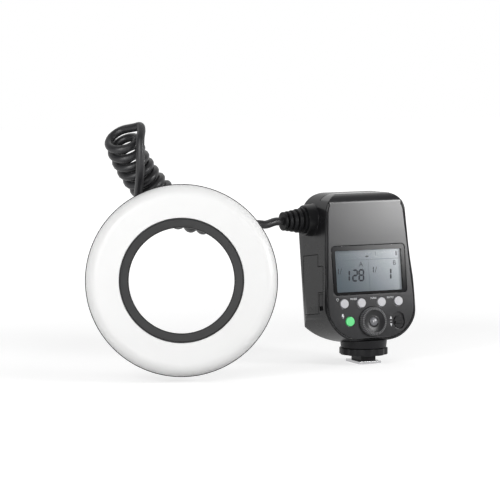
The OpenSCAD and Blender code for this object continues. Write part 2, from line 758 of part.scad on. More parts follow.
// Middle line of the coil, from the control unit's side to the ring's side
coil_axis = [[-84, 20.5, 105.5], [-94, 20.5, 107], [-106, 21.5, 110.5], [-125, 24, 113], [-141, 26, 117.5],
    [-154, 27, 126.5], [-165, 26.5, 137.5], [-174, 24.5, 148], [-182, 21.5, 159.5], [-189.5, 17.5, 172.5]];
// Pitch along the coil as a share of the tight pitch, by distance from the unit's side
coil_spread = [[0, 60], [10, 18], [16, 6], [22, 2.4], [30, 1.34], [40, 1.26], [52, 1.32], [76, 1.34],
    [90, 1.22], [105, 1.16], [115, 1.15], [200, 1.15]];
coil_open = 30;
coil_end_angle = -58;
coil_end_taper = 0.8;
axis_fine = smooth_line(coil_axis, 12);
axis_s = running([for (i = [0:len(axis_fine) - 1])
    i + 1 < len(axis_fine) ? norm(axis_fine[i + 1] - axis_fine[i]) : 0]);
axis_l = axis_s[len(axis_s) - 1];
axis_x = [for (i = [0:len(axis_s) - 1]) [axis_s[i], axis_fine[i][0]]];
axis_y = [for (i = [0:len(axis_s) - 1]) [axis_s[i], axis_fine[i][1]]];
axis_z = [for (i = [0:len(axis_s) - 1]) [axis_s[i], axis_fine[i][2]]];
function axis_at(s) = [lookup(s, axis_x), lookup(s, axis_y), lookup(s, axis_z)];
function axis_way(s) = unit(axis_at(min(s + 0.5, axis_l)) - axis_at(max(s - 0.5, 0)));
steps = [for (i = [0:ceil(axis_l * 2)]) min(i / 2, axis_l)];
function rate(s) = 1 / ((cord_d + turn_gap) * lookup(s, coil_spread));
turn_sum = running([for (i = [0:len(steps) - 1]) i + 1 < len(steps)
    ? (rate(steps[i]) + rate(steps[i + 1])) / 2 * (steps[i + 1] - steps[i]) : 0]);
coil_turns = turn_sum[len(turn_sum) - 1];
turns_by_s = [for (i = [0:len(steps) - 1]) [steps[i], turn_sum[i]]];
s_by_mark = [for (i = [0:len(steps) - 1]) [8 * turn_sum[i] + min(steps[i], coil_open) / 5, steps[i]]];
marks = s_by_mark[len(s_by_mark) - 1][0];
function coil_radius(s) = s < coil_open ? coil_r * (1 - cos(180 * s / coil_open)) / 2
    : coil_r - coil_end_taper * pow(max(0, (s - axis_l + 16) / 16), 2);
function coil_point(s) = let (t = axis_way(s), u = square_to([0, 1, 0], t), v = cross(t, u),
    a = coil_end_angle - 360 * (lookup(s, turns_by_s) - coil_turns))
    axis_at(s) + coil_radius(s) * (cos(a) * u + sin(a) * v);
coil_count = floor(marks);
coil_points = [for (i = [0:coil_count]) coil_point(lookup(marks * i / coil_count, s_by_mark))];
coil_last = coil_points[coil_count];
coil_way = unit(coil_point(axis_l) - coil_point(axis_l - 0.05));
coil_start_way = unit(coil_points[1] - coil_points[0]);
coil_start = coil_points[0] - cord_d * coil_start_way;
coil_end = coil_last + cord_d * coil_way;
coil_line = concat([coil_start], coil_points, [coil_end]);
// Least gap of the coil to itself, on points of turns that are not neighbours on the cord
coil_gap = min([for (i = [0:coil_count]) for (j = [i + 5:1:coil_count])
    norm(coil_points[i] - coil_points[j])]) - cord_d;
echo(coil_turns = coil_turns, coil_gap = coil_gap);

// The two leads: hand-set points between a square, straight stretch at each end
function straight(tip, way) = [tip + 0.25 * cord_d * way, tip + cord_d * way];
function turned(v) = [for (i = [len(v) - 1:-1:0]) v[i]];
relief_tip = case_point([-boss_out - relief_l, outlet_y, outlet_z]);
unit_route = concat(straight(relief_tip, [-1, 0, 0]), turned(straight(coil_start, -coil_start_way)));
unit_line = concat([relief_tip], smooth_line(unit_route, 3), [coil_start]);
lead_tip = ring_point([lead_x, lead_y + lead_relief_l, lead_z]);
ring_route = concat(straight(lead_tip, ring_y), [[-180, 6, 141.5], [-181.5, 1.5, 151], [-182, 0, 161],
    [-181, 2, 171], [-178, 7, 177]], turned(straight(coil_end, coil_way)));
ring_line = concat([lead_tip], smooth_line(ring_route, 3), [coil_end]);

module cord_coil() color("#202123") tube(coil_line, cord_d, 6, [0, 0, 1]);
module cord_ring_lead() color("#202123") tube(ring_line, cord_d, 8, [1, 0, 0]);
module cord_unit_lead() color("#202123") tube(unit_line, cord_d, 8, [0, 0, 1]);

case_shell();
panel_cover();
lcd_window();
lcd_frame();
lcd_module();
main_board();
tact_switches();
dial_encoder();
slide_switch();
flash_capacitor();
battery_contacts();
af_window();
case_screws();
unit_strain_relief();
foot_collar();
shoe_foot();
shoe_plate();
function_button_1();
function_button_2();
function_button_3();
function_button_4();
test_button();
control_dial();
set_button();
power_switch();
battery_pack();
battery_latch();
lock_ring();
lock_pin();
contact_pins();
ring_housing();
ring_diffuser();
inner_baffle();
mount_ring();
tube_reflector();
flash_tube_left();
flash_tube_right();
ring_board();
release_left();
release_right();
latch_spring_left();
latch_spring_right();
ring_screws();
ring_strain_relief();
cord_ring_lead();
cord_coil();
cord_unit_lead();
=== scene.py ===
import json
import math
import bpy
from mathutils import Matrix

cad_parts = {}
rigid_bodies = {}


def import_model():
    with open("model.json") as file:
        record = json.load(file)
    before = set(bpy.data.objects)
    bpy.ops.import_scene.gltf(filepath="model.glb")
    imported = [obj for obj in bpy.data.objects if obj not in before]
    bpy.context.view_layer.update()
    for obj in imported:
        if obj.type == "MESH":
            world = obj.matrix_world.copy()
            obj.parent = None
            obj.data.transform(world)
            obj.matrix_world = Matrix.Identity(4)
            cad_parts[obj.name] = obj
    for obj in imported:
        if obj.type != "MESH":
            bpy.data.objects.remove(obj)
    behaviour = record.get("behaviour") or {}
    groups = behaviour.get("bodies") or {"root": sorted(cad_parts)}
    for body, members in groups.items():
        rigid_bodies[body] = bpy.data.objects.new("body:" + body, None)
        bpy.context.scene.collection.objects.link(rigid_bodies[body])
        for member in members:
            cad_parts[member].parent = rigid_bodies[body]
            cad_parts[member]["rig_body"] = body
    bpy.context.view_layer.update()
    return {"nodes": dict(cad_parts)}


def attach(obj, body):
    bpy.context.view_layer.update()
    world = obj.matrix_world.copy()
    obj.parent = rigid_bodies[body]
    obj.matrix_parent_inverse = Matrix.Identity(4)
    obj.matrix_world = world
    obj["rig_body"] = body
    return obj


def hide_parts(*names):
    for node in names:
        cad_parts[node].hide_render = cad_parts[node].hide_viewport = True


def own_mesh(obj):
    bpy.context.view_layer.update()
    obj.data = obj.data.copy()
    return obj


bl_info = {
    "name": "Macro ring flash",
    "version": (1, 0, 0),
    "blender": (4, 5, 0),
    "location": "View3D > Sidebar > Ring flash",
    "description": "Dresses the CAD frame: mouldings, display, controls, ring head, cord and studio",
    "category": "Object",
}

from bisect import bisect_right

import bmesh
import bpy
from bpy.props import FloatProperty, FloatVectorProperty, IntProperty, PointerProperty
from mathutils import Matrix, Vector

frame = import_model()

MM = 0.001
WELD = 0.002 * MM

# Places of the control unit and the ring head in the frame, in millimetres and degrees
PANEL_Y = -16.1
CASE_Z = 17.8
CASE_LEAN = 8.0
RING_POS = Vector((-155.5, -12.8, 69.8))
RING_TURN = 24.7
RING_TIP = 6.1

UPRIGHT = Matrix.Rotation(math.radians(90), 4, "X")
IN_CASE = (
    Matrix.Translation(Vector((0, PANEL_Y, CASE_Z)) * MM)
    @ Matrix.Rotation(-math.radians(CASE_LEAN), 4, "X")
)
ON_PANEL = IN_CASE @ UPRIGHT
IN_RING = (
    Matrix.Translation(RING_POS * MM)
    @ Matrix.Rotation(-math.radians(RING_TURN), 4, "Z")
    @ Matrix.Rotation(math.radians(90 - RING_TIP), 4, "X")
)

# Mesh angles, in degrees: flat faces are joined, harder edges rounded, softer ones shaded smooth
FLAT_ANGLE = 0.3
HARD_ANGLE = 28.0
SMOOTH_ANGLE = 32.0
TURNED_ANGLE = 24.0
WIRE_ANGLE = 60.0

# The case's rim beside the panel, in its own millimetres: depth, heights, fade and lean, and how far
# sideways a face of the case's side points
RIM_DEPTH = 0.5
RIM_FROM = 44.0
RIM_TO = 98.05
RIM_FADE = 16.0
RIM_LEAN = 1.4
RIM_SIDEWAYS = 0.8

# Panel layout, in millimetres from the panel's middle and the case bottom
BUTTON_XS = (-22.8, -8.4, 8.4, 22.8)
BUTTON_Z = 28.6
TEST_SPOT = (-18.8, 15.3)
DIAL_Z = 14.4
SWITCH_SPOT = (22.4, 14.2)
DISPLAY_MIDDLE = (0.0, 52.5)
DISPLAY_SIZE = (55.6, 30.8)
DISPLAY_DEPTH = 2.4
WINDOW_MIDDLE = (0.0, 53.2)
WINDOW_SIZE = (61.6, 36.6)
WINDOW_CORNER = 2.9
WINDOW_SINK = 0.1
BORDER_INSET = 0.35
BORDER_CORNER = 0.8
BORDER_LIFT = 0.005

# The dial, in millimetres from its axis and the panel's face. Its edge is rows of inset and drop, and
# the edge of its pocket rows of distance from the pocket's wall and drop
DIAL_RADIUS = 10.35
DIAL_RISE = 3.5
DIAL_SINK = 1.0
DIAL_STEPS = 120
DIAL_EDGE = ((0.0, 1.1), (0.5, 0.45), (1.9, 0.0), (2.25, 0.08))
DISH_INSET = 2.4
DISH_END = 0.5
DISH_TOP = 0.3
DISH_DEPTH = 0.75
DISH_SWEEP = 1.5
DISH_STEPS = 8
DIAL_POCKET = 3.6
POCKET_EDGE = ((0.2, 1.0), (0.0, 1.2))
POCKET_DEPTH = 1.5
HUB_RADIUS = 5.8
HUB_DEPTH = 4.0
STEM_HOLE = 1.8

# The dial's ribs down its side and the teeth on its edge
DIAL_RIBS = 44
RIB_WIDTH = 0.66
RIB_ROOT = 0.2
RIB_PROUD = 0.33
RIB_FROM = 0.4
RIB_TO = 0.9
RIB_SLOPE = 0.2
TOOTH_FOOT = Vector((-0.35, -0.52))
TOOTH_RUN = Vector((-1.4, 0.45)).normalized() * 1.5
TOOTH_LIFT = Vector((0.12, 0.38))

# The set button in the dial
SET_RADIUS = 3.3
SET_RISE = 3.0
SET_DOME = 0.9
SET_CROWN = 6
SET_BASE = 0.5
SET_STEM = 8.1
SET_STEPS = 64
STEM_RADIUS = 1.5
SET_PRINT = 1.3
SET_INK = 0.06

# The display's figures and signs. Columns are shares of its width from the left, rows are shares of its
# height from the top, bows are inner and outer radius and angles, and the rest is in millimetres
INK = 0.03
FAINT_INK = 0.02
FIGURES = (("1", 0.145), ("2", 0.265), ("8", 0.36), ("1", 0.775))
FIGURE_ROW = 0.735
FIGURE_WIDTH = 0.46
FIGURE_BAR = 0.165
FIGURE_SLANT = 0.06
BAR_GAP = 0.06
FRACTIONS = (0.045, 0.575)
FRACTION_ROW = 0.56
FRACTION_SIZE = 0.55
FRACTION_SHIFT = -1.6
STROKE_FOOT = (1.6, 2.0)
STROKE_HEAD = (3.6, 3.2)
LETTERS = (("A", 0.4), ("B", 0.91))
LETTER_ROW = 0.345
LETTER_HEIGHT = 3.5
CAPITAL_SHARE = 0.7
TOP_BOW = (0.95, 1.6, 200, 340)
TOP_BOW_SPOT = (0.5, 0.13)
TOP_SIGNS = (
    (TOP_BOW_SPOT, ((-0.6, -0.75, 0.6, -0.3),)),
    ((0.63, 0.1), ((-0.12, -1.3, 0.12, 1.3), (-0.6, 1.1, 0.6, 1.3))),
    ((0.945, 0.11), ((-0.55, -1.6, 0.55, 1.2), (-0.25, 1.3, 0.25, 1.7))),
)
DIVIDER_ROW = 0.235
DIVIDER_COLUMN = 0.515
DIVIDER_END = 0.99
DIVIDER_HALF = 0.13

# The panel's print, in millimetres from the button or switch that it belongs to
PRINT_LIFT = 0.01
BUTTON_WORDS = (("MODE", -6.3, 3.1), ("FUNC", -6.3, 3.1), ("RATIO", -6.6, 3.0))
BULB_SPOT = (-5.3, 3.1)
BULB_BOW = (0.65, 0.9, -60, 240)
BULB_RISE = 0.3
BULB_BASE = (-0.45, -1.0, 0.45, -0.65)
BOLT_SPOT = (-5.6, 4.0)
BOLT = ((0.2, 0.5), (1.1, 0.5), (-0.3, -1.9), (-0.1, -0.2), (-1.1, -0.2), (-0.7, 1.8), (0.5, 1.8))
ARROW_SPOT = (-6.8, -0.4)
ARROW = ((-0.9, 1.7), (0.9, 1.7), (0.0, 4.0))
ARROW_DASH = (-0.8, -0.14, 0.8, 0.14)

# Springs of the release slides: wire, its sides, turns, and steps in each turn
SPRING_WIRE = 0.4
SPRING_SIDES = 8
SPRING_TURNS = 5
SPRING_STEPS = 20

# Camera, in millimetres along its own right, up and towards directions
VIEW_AZIMUTH = -26.0
VIEW_ELEVATION = 5.5
VIEW_DISTANCE = 2245.0
VIEW_SHIFT_RIGHT = -84.9
VIEW_SHIFT_UP = 83.8
VIEW_LENS = 216.0
SENSOR_WIDTH = 36.0
NEAR_CLIP = 0.05
FAR_CLIP = 200.0

# Floor in metres: size, place under the origin, where its glow grows and between which levels
FLOOR_REACH = 6.0
FLOOR_DROP = 0.9 * MM
FLOOR_FADE = (0.25, 0.8)
FLOOR_GLOW = (0.68, 1.0)

# Room brightness in front of the object, behind it, and behind it as mirrored, and where it changes.
# Lamps: name, direction as the camera sees it (right, up, towards), distance, width, height, power,
# share of the width and height from the lower left over which the lamp fades in
ROOM_FRONT = 0.14
ROOM_BACK = 0.55
ROOM_SEEN = 1.0
ROOM_CHANGE = (-0.2, 0.5)
LAMP_MIDDLE = Vector((-70, 0, 80)) * MM
LAMPS = (
    ("front softbox", (-0.1, 0.3, 1.0), 1.1, 0.8, 0.6, 3.0, None),
    ("left strip", (-0.5, 0.12, 0.866), 0.95, 0.1, 0.7, 4.2, None),
    ("graded key", (0.709, 0.161, 0.352), 0.81, 0.3, 0.26, 6.2, (0.6, 0.5)),
    ("top softbox", (0.0, 1.0, -0.35), 0.9, 0.6, 0.6, 0.5, None),
)


class FlashSizes(bpy.types.PropertyGroup):
    """Sizes that a user would change"""

    edge_round: FloatProperty(
        name="Edge rounding", description="Rounding of moulded edges", default=0.35 * MM, unit="LENGTH"
    )
    cord_diameter: FloatProperty(
        name="Cord diameter", description="Outer diameter of the cord", default=6.2 * MM, unit="LENGTH"
    )
    curl_radius: FloatProperty(
        name="Curl radius",
        description="Radius of the curls to the middle of the cord",
        default=10.7 * MM,
        unit="LENGTH",
    )
    curl_steps: IntProperty(
        name="Curl steps", description="Points of the cord's line in each curl", default=24
    )
    figure_height: FloatProperty(
        name="Figure height",
        description="Height of the large display figures",
        default=7.9 * MM,
        unit="LENGTH",
    )
    print_height: FloatProperty(
        name="Print height", description="Height of the small panel print", default=1.35 * MM, unit="LENGTH"
    )


class FlashFinishes(bpy.types.PropertyGroup):
    """Colours that a user would change"""

    case_colour: FloatVectorProperty(
        name="Case",
        description="Colour of the case mouldings",
        default=(0.013, 0.013, 0.014),
        subtype="COLOR",
    )
    panel_colour: FloatVectorProperty(
        name="Panel",
        description="Colour of the control panel",
        default=(0.021, 0.021, 0.0225),
        subtype="COLOR",
    )
    trim_colour: FloatVectorProperty(
        name="Trim", description="Colour of the black trim", default=(0.009, 0.009, 0.01), subtype="COLOR"
    )
    button_colour: FloatVectorProperty(
        name="Buttons",
        description="Colour of the function buttons",
        default=(0.5, 0.5, 0.52),
        subtype="COLOR",
    )
    test_colour: FloatVectorProperty(
        name="Test button",
        description="Colour of the lit test button",
        default=(0.1, 0.62, 0.2),
        subtype="COLOR",
    )
    # The display's colour at its painted highlight corner
    display_colour: FloatVectorProperty(
        name="Display",
        description="Colour of the display's pale corner",
        default=(0.74, 0.78, 0.82),
        subtype="COLOR",
    )
    diffuser_colour: FloatVectorProperty(
        name="Diffuser",
        description="Colour of the ring's diffuser",
        default=(0.88, 0.88, 0.875),
        subtype="COLOR",
    )
    cord_colour: FloatVectorProperty(
        name="Cord",
        description="Colour of the cord's jacket",
        default=(0.016, 0.016, 0.0175),
        subtype="COLOR",
    )
    print_colour: FloatVectorProperty(
        name="Print", description="Colour of the panel print", default=(0.75, 0.75, 0.77), subtype="COLOR"
    )


def sizes():
    return bpy.context.scene.ring_flash_sizes


def finishes():
    return bpy.context.scene.ring_flash_finishes


# Finishes: sizes of grain, smudges and slow changes in metres, and their levels


NOISE_RANGE = (0.3, 0.7)
MOULDED_CLOUD = 14 * MM
MOULDED_GRAIN = 0.45 * MM
MOULDED_DEPTH = 0.02 * MM
RUBBER_CLOUD = 6 * MM
RUBBER_GRAIN = 0.3 * MM
RUBBER_DEPTH = 0.012 * MM
RUBBER_CHANGE = 0.35
RUBBER_SHEEN = 0.02
METAL_STRETCH = (1.0, 12.0, 1.0)
METAL_LINES = 2 * MM
METAL_DEPTH = 0.01 * MM
METAL_CHANGE = 0.15
DIFFUSER_CLOUD = 40 * MM
DIFFUSER_GRAIN = 0.4 * MM
DIFFUSER_DEPTH = 0.006 * MM
DIFFUSER_CHANGE = 0.02
DIFFUSER_ROUGH = (0.36, 0.44)
DIFFUSER_SINK = 0.004
SMUDGE = 9 * MM
WINDOW_COVER = 0.1
WINDOW_ROUGH = (0.01, 0.03)
WINDOW_IOR = 2.3
GLASS_IOR = 1.46
GLASS_ROUGH = (0.02, 0.05)
# Display cell: turn, shift and scale of its painted highlight and shade gradient, its painted glow, its
# roughness and grain, and its share of colour at the painted shade corner
CELL_TURN = 30.0
CELL_SHIFT = -0.03
CELL_SCALE = 13.0
PAINTED_CELL_GLOW = 0.3
CELL_ROUGH = 0.4
CELL_GRAIN = 0.25 * MM
CELL_DEPTH = 0.004 * MM
PAINTED_SHADE_CORNER = (0.05, 0.08, 0.1)


def set_inputs(node, values):
    for name, value in values.items():
        node.inputs[name].default_value = value


def node_finish(name):
    """A material with one Principled shader, its node tree and Object coordinates."""
    material = bpy.data.materials.new(name)
    material.use_nodes = True
    tree = material.node_tree
    shader = tree.nodes["Principled BSDF"]
    place = tree.nodes.new("ShaderNodeTexCoord")
    return material, tree, shader, place.outputs["Object"]


def noise(tree, place, size, detail=3.0):
    """A noise texture whose grains are about size metres across."""
    node = tree.nodes.new("ShaderNodeTexNoise")
    set_inputs(node, {"Scale": 1.0 / size, "Detail": detail})
    tree.links.new(place, node.inputs["Vector"])
    return node.outputs["Fac"]


def moved(tree, place, **values):
    """Coordinates turned, shifted or stretched by a Mapping node."""
    node = tree.nodes.new("ShaderNodeMapping")
    set_inputs(node, values)
    tree.links.new(place, node.inputs["Vector"])
    return node.outputs["Vector"]


def ranged(tree, value, source, target, blend="LINEAR"):
    """Maps a value from one range to another."""
    node = tree.nodes.new("ShaderNodeMapRange")
    node.interpolation_type = blend
    set_inputs(node, {"From Min": source[0], "From Max": source[1], "To Min": target[0], "To Max": target[1]})
    tree.links.new(value, node.inputs["Value"])
    return node.outputs["Result"]


def combined(tree, operation, *values):
    """A Math node over links and plain numbers."""
    node = tree.nodes.new("ShaderNodeMath")
    node.operation = operation
    for socket, value in zip(node.inputs, values):
        if isinstance(value, float):
            socket.default_value = value
        else:
            tree.links.new(value, socket)
    return node.outputs["Value"]


def mixed(tree, value, low, high):
    """Mixes two colours by a value."""
    node = tree.nodes.new("ShaderNodeMix")
    node.data_type = "RGBA"
    set_inputs(node, {"A": (*low, 1), "B": (*high, 1)})
    tree.links.new(value, node.inputs["Factor"])
    return node.outputs["Result"]


def vary_colour(tree, shader, value, colour, change):
    """Mixes a colour and a lighter one by a noise value."""
    lighter = [min(c * (1 + change), 1) for c in colour]
    tree.links.new(mixed(tree, value, colour, lighter), shader.inputs["Base Color"])


def vary_rough(tree, shader, value, low, high):
    tree.links.new(ranged(tree, value, NOISE_RANGE, (low, high)), shader.inputs["Roughness"])


def grain_bump(tree, shader, value, depth, strength=0.5):
    node = tree.nodes.new("ShaderNodeBump")
    set_inputs(node, {"Strength": strength, "Distance": depth})
    tree.links.new(value, node.inputs["Height"])
    tree.links.new(node.outputs["Normal"], shader.inputs["Normal"])


def moulded_finish(name, colour, rough, grain=MOULDED_GRAIN, depth=MOULDED_DEPTH, change=0.25, gloss=0.5):
    """Moulded plastic with a fine spark-eroded grain and slow changes of tone."""
    material, tree, shader, place = node_finish(name)
    set_inputs(shader, {"Specular IOR Level": gloss})
    cloud = noise(tree, place, MOULDED_CLOUD)
    vary_colour(tree, shader, cloud, colour, change)
    vary_rough(tree, shader, cloud, rough - 0.015, rough + 0.02)
    grain_bump(tree, shader, noise(tree, place, grain, 2.0), depth)
    return material


def lit_finish(name, colour, rough, change, glow):
    """Coloured plastic with a lamp behind it."""
    material = moulded_finish(name, colour, rough, change=change)
    shader = material.node_tree.nodes["Principled BSDF"]
    set_inputs(shader, {"Emission Color": (*colour, 1), "Emission Strength": glow})
    return material


def rubber_finish(name, colour, rough, gloss):
    """Soft moulded rubber: a dull skin with a faint dusty sheen."""
    material, tree, shader, place = node_finish(name)
    set_inputs(shader, {"Specular IOR Level": gloss, "Sheen Weight": RUBBER_SHEEN})
    cloud = noise(tree, place, RUBBER_CLOUD)
    vary_colour(tree, shader, cloud, colour, RUBBER_CHANGE)
    vary_rough(tree, shader, cloud, rough - 0.06, rough + 0.08)
    grain_bump(tree, shader, noise(tree, place, RUBBER_GRAIN), RUBBER_DEPTH)
    return material


def metal_finish(name, colour, rough):
    """Worked metal with fine lines along one direction."""
    material, tree, shader, place = node_finish(name)
    lines = noise(tree, moved(tree, place, Scale=METAL_STRETCH), METAL_LINES, 4.0)
    set_inputs(shader, {"Metallic": 1.0})
    vary_colour(tree, shader, lines, colour, METAL_CHANGE)
    vary_rough(tree, shader, lines, rough - 0.08, rough + 0.1)
    grain_bump(tree, shader, lines, METAL_DEPTH, 0.3)
    return material


def diffuser_finish(name, colour):
    """Milky plastic that lets light sink in a little way."""
    material, tree, shader, place = node_finish(name)
    cloud = noise(tree, place, DIFFUSER_CLOUD, 1.0)
    vary_colour(tree, shader, cloud, colour, DIFFUSER_CHANGE)
    vary_rough(tree, shader, cloud, *DIFFUSER_ROUGH)
    set_inputs(
        shader,
        {
            "Subsurface Weight": 0.25,
            "Subsurface Radius": (DIFFUSER_SINK, DIFFUSER_SINK, DIFFUSER_SINK),
            "Subsurface Scale": 0.5,
        },
    )
    grain_bump(tree, shader, noise(tree, place, DIFFUSER_GRAIN), DIFFUSER_DEPTH)
    return material


def window_finish(name, colour):
    """Smoked window plastic: thin enough to see straight through, with a clear gloss."""
    material, tree, shader, place = node_finish(name)
    set_inputs(shader, {"Base Color": (*colour, 1), "IOR": WINDOW_IOR, "Alpha": WINDOW_COVER})
    vary_rough(tree, shader, noise(tree, place, SMUDGE, 2.0), *WINDOW_ROUGH)
    return material


def glass_finish(name, tint):
    """Clear glass."""
    material, tree, shader, place = node_finish(name)
    set_inputs(shader, {"Base Color": (*tint, 1), "Transmission Weight": 1.0, "IOR": GLASS_IOR})
    vary_rough(tree, shader, noise(tree, place, SMUDGE, 2.0), *GLASS_ROUGH)
    return material


def painted_light_display_finish(name, pale):
    """Liquid-crystal cell with painted light: a painted highlight at its upper right, painted shade at its
    lower left, a painted glow, and a fine cell grain.
    """
    material, tree, shader, place = node_finish(name)
    turned = moved(
        tree,
        place,
        Rotation=(0, math.radians(CELL_TURN), 0),
        Location=(CELL_SHIFT, 0, 0),
        Scale=(CELL_SCALE, CELL_SCALE, CELL_SCALE),
    )
    # Painted highlight at the upper right and painted shade at the lower left, as a gradient in the base
    # colour and the glow colour
    ramp = tree.nodes.new("ShaderNodeTexGradient")
    ramp.gradient_type = "QUADRATIC"
    tree.links.new(turned, ramp.inputs["Vector"])
    tone = mixed(tree, ramp.outputs["Fac"], [c * dim for c, dim in zip(pale, PAINTED_SHADE_CORNER)], pale)
    tree.links.new(tone, shader.inputs["Base Color"])
    tree.links.new(tone, shader.inputs["Emission Color"])
    # The cell's glow is painted light, standing in for light that the window keeps from the cell
    set_inputs(shader, {"Emission Strength": PAINTED_CELL_GLOW, "Roughness": CELL_ROUGH})
    grain_bump(tree, shader, noise(tree, place, CELL_GRAIN), CELL_DEPTH)
    return material


# Each finish: how it is made, its material's name, its colour or the property that holds it, the rest
FINISHES = {
    "case": (moulded_finish, "charcoal moulding", "case_colour", dict(rough=0.28, change=0.12, gloss=0.17)),
    "panel": (moulded_finish, "panel moulding", "panel_colour", dict(rough=0.18, change=0.1)),
    "trim": (moulded_finish, "black trim", "trim_colour", dict(rough=0.42, gloss=0.18)),
    "baffle": (moulded_finish, "baffle moulding", "case_colour", dict(rough=0.55, grain=0.8 * MM, gloss=0.3)),
    "button": (moulded_finish, "grey button", "button_colour", dict(rough=0.4, change=0.06)),
    "dial": (moulded_finish, "dial moulding", "trim_colour", dict(rough=0.3, change=0.4, gloss=0.35)),
    # The dial's ribs are painted a lighter grey than the dial: a painted highlight on their edges
    "ribs": (moulded_finish, "dial ribs", (0.17, 0.17, 0.175), dict(rough=0.4, change=0.1, gloss=0.3)),
    "set": (moulded_finish, "set button", (0.14, 0.14, 0.15), dict(rough=0.28, change=0.1)),
    "test": (lit_finish, "green button", "test_colour", dict(rough=0.35, change=0.1, glow=0.12)),
    "print": (moulded_finish, "white print", "print_colour", dict(rough=0.5, change=0.05)),
    "ink": (moulded_finish, "display ink", (0.006, 0.009, 0.018), dict(rough=0.5, gloss=0.2)),
    "faint ink": (moulded_finish, "faint display ink", (0.07, 0.095, 0.12), dict(rough=0.5, change=0.1)),
    "mask": (moulded_finish, "display mask", (0.004, 0.004, 0.005), dict(rough=0.04, depth=0.001 * MM)),
    "window": (window_finish, "display window", (0.0, 0.0, 0.0), {}),
    "display": (painted_light_display_finish, "display cell", "display_colour", {}),
    "diffuser": (diffuser_finish, "milky diffuser", "diffuser_colour", {}),
    "rubber": (rubber_finish, "sleeve rubber", "trim_colour", dict(rough=0.5, gloss=0.15)),
    "cord": (rubber_finish, "cord jacket", "cord_colour", dict(rough=0.38, gloss=0.45)),
    "plate": (metal_finish, "shoe plate metal", (0.5, 0.5, 0.51), dict(rough=0.25)),
    "steel": (metal_finish, "plain steel", (0.5, 0.5, 0.52), dict(rough=0.35)),
    "gold": (metal_finish, "gold plating", (0.8, 0.6, 0.28), dict(rough=0.25)),
    "mirror": (metal_finish, "reflector skin", (0.85, 0.86, 0.88), dict(rough=0.12)),
    "tube": (glass_finish, "flash tube glass", (0.95, 0.97, 1.0), {}),
    "board": (moulded_finish, "circuit board", (0.02, 0.09, 0.045), dict(rough=0.4, change=0.5)),
    "sleeve": (moulded_finish, "capacitor sleeve", (0.015, 0.02, 0.06), dict(rough=0.25)),
    "red": (moulded_finish, "red window", (0.09, 0.004, 0.008), dict(rough=0.12)),
}
MADE = {}


def finish(key):
    """One material for each finish of the flash, made when it is first asked for."""
    if key not in MADE:
        make, name, colour, rest = FINISHES[key]
        if isinstance(colour, str):
            colour = getattr(finishes(), colour)
        MADE[key] = make(name, colour, **rest)
    return MADE[key]


# Pieces


def add_piece(name, bm, finish_key, body, smooth=SMOOTH_ANGLE):
    """Makes an object of a bmesh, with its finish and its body."""
    mesh = bpy.data.meshes.new(name)
    bm.to_mesh(mesh)
    bm.free()
    mesh.materials.append(finish(finish_key))
    mesh.shade_smooth()
    mesh.set_sharp_from_angle(angle=math.radians(smooth))
    piece = bpy.data.objects.new(name, mesh)
    bpy.context.scene.collection.objects.link(piece)
    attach(piece, body)
    return piece


def body_of(node):
    return frame["nodes"][node]["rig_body"]


def lean_rim(bm):
    """Leans the case's rim beside the panel back towards the sides, fading out at both ends."""
    for vert in bm.verts:
        spot = IN_CASE.inverted() @ vert.co / MM
        if spot.y > RIM_DEPTH or not RIM_FROM < spot.z < RIM_TO:
            continue
        outward = math.copysign(1, spot.x)
        if any(face.normal.x * outward > RIM_SIDEWAYS for face in vert.link_faces):
            fade = min(1.0, (spot.z - RIM_FROM) / RIM_FADE, (RIM_TO - spot.z) / RIM_FADE)
            spot.y = max(spot.y, RIM_LEAN * fade)
            vert.co = IN_CASE @ (spot * MM)


def softened(node, finish_key, edge, segments=2, shape=None):
    """A copy of a CAD node with its edges rounded, in the node's place."""
    bm = bmesh.new()
    bm.from_mesh(frame["nodes"][node].data)
    bmesh.ops.remove_doubles(bm, verts=bm.verts[:], dist=WELD)
    if shape:
        shape(bm)
    flat = math.radians(FLAT_ANGLE)
    bmesh.ops.dissolve_limit(bm, angle_limit=flat, verts=bm.verts[:], edges=bm.edges[:])
    limit = math.radians(HARD_ANGLE)
    hard = [e for e in bm.edges if len(e.link_faces) == 2 and e.calc_face_angle(0.0) > limit]
    bmesh.ops.bevel(
        bm,
        geom=hard,
        offset=edge,
        offset_type="OFFSET",
        segments=segments,
        profile=0.5,
        affect="EDGES",
        clamp_overlap=False,
        material=-1,
    )
    piece = add_piece(node + "_finished", bm, finish_key, body_of(node))
    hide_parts(node)
    weigh_normals(piece)
    return piece


def weigh_normals(piece):
    """Keeps flat faces flat beside their rounded edges."""
    modifier = piece.modifiers.new("flat faces", "WEIGHTED_NORMAL")
    modifier.keep_sharp = True


def dress(node, finish_key):
    """Gives a CAD node its finish."""
    mesh = frame["nodes"][node].data
    mesh.materials.clear()
    mesh.materials.append(finish(finish_key))


def lay_points(bm, outline, place):
    """Vertices of an outline in millimetres, on a place's own plane."""
    return [bm.verts.new(place @ Vector((u * MM, v * MM, 0))) for u, v in outline]


def thicken(bm, faces, place, thickness):
    """Draws flat faces out along a place's own upright into a closed plate."""
    grown = bmesh.ops.extrude_face_region(bm, geom=faces)["geom"]
    raised = [g for g in grown if isinstance(g, bmesh.types.BMVert)]
    bmesh.ops.translate(bm, verts=raised, vec=place.to_3x3() @ Vector((0, 0, thickness)))
    plate = {*faces, *(face for vert in raised for face in vert.link_faces)}
    bmesh.ops.recalc_face_normals(bm, faces=list(plate))


def add_flat(bm, outline, place, thickness):
    """A plate of an outline in millimetres, on a place's own plane."""
    thicken(bm, [bm.faces.new(lay_points(bm, outline, place))], place, thickness)


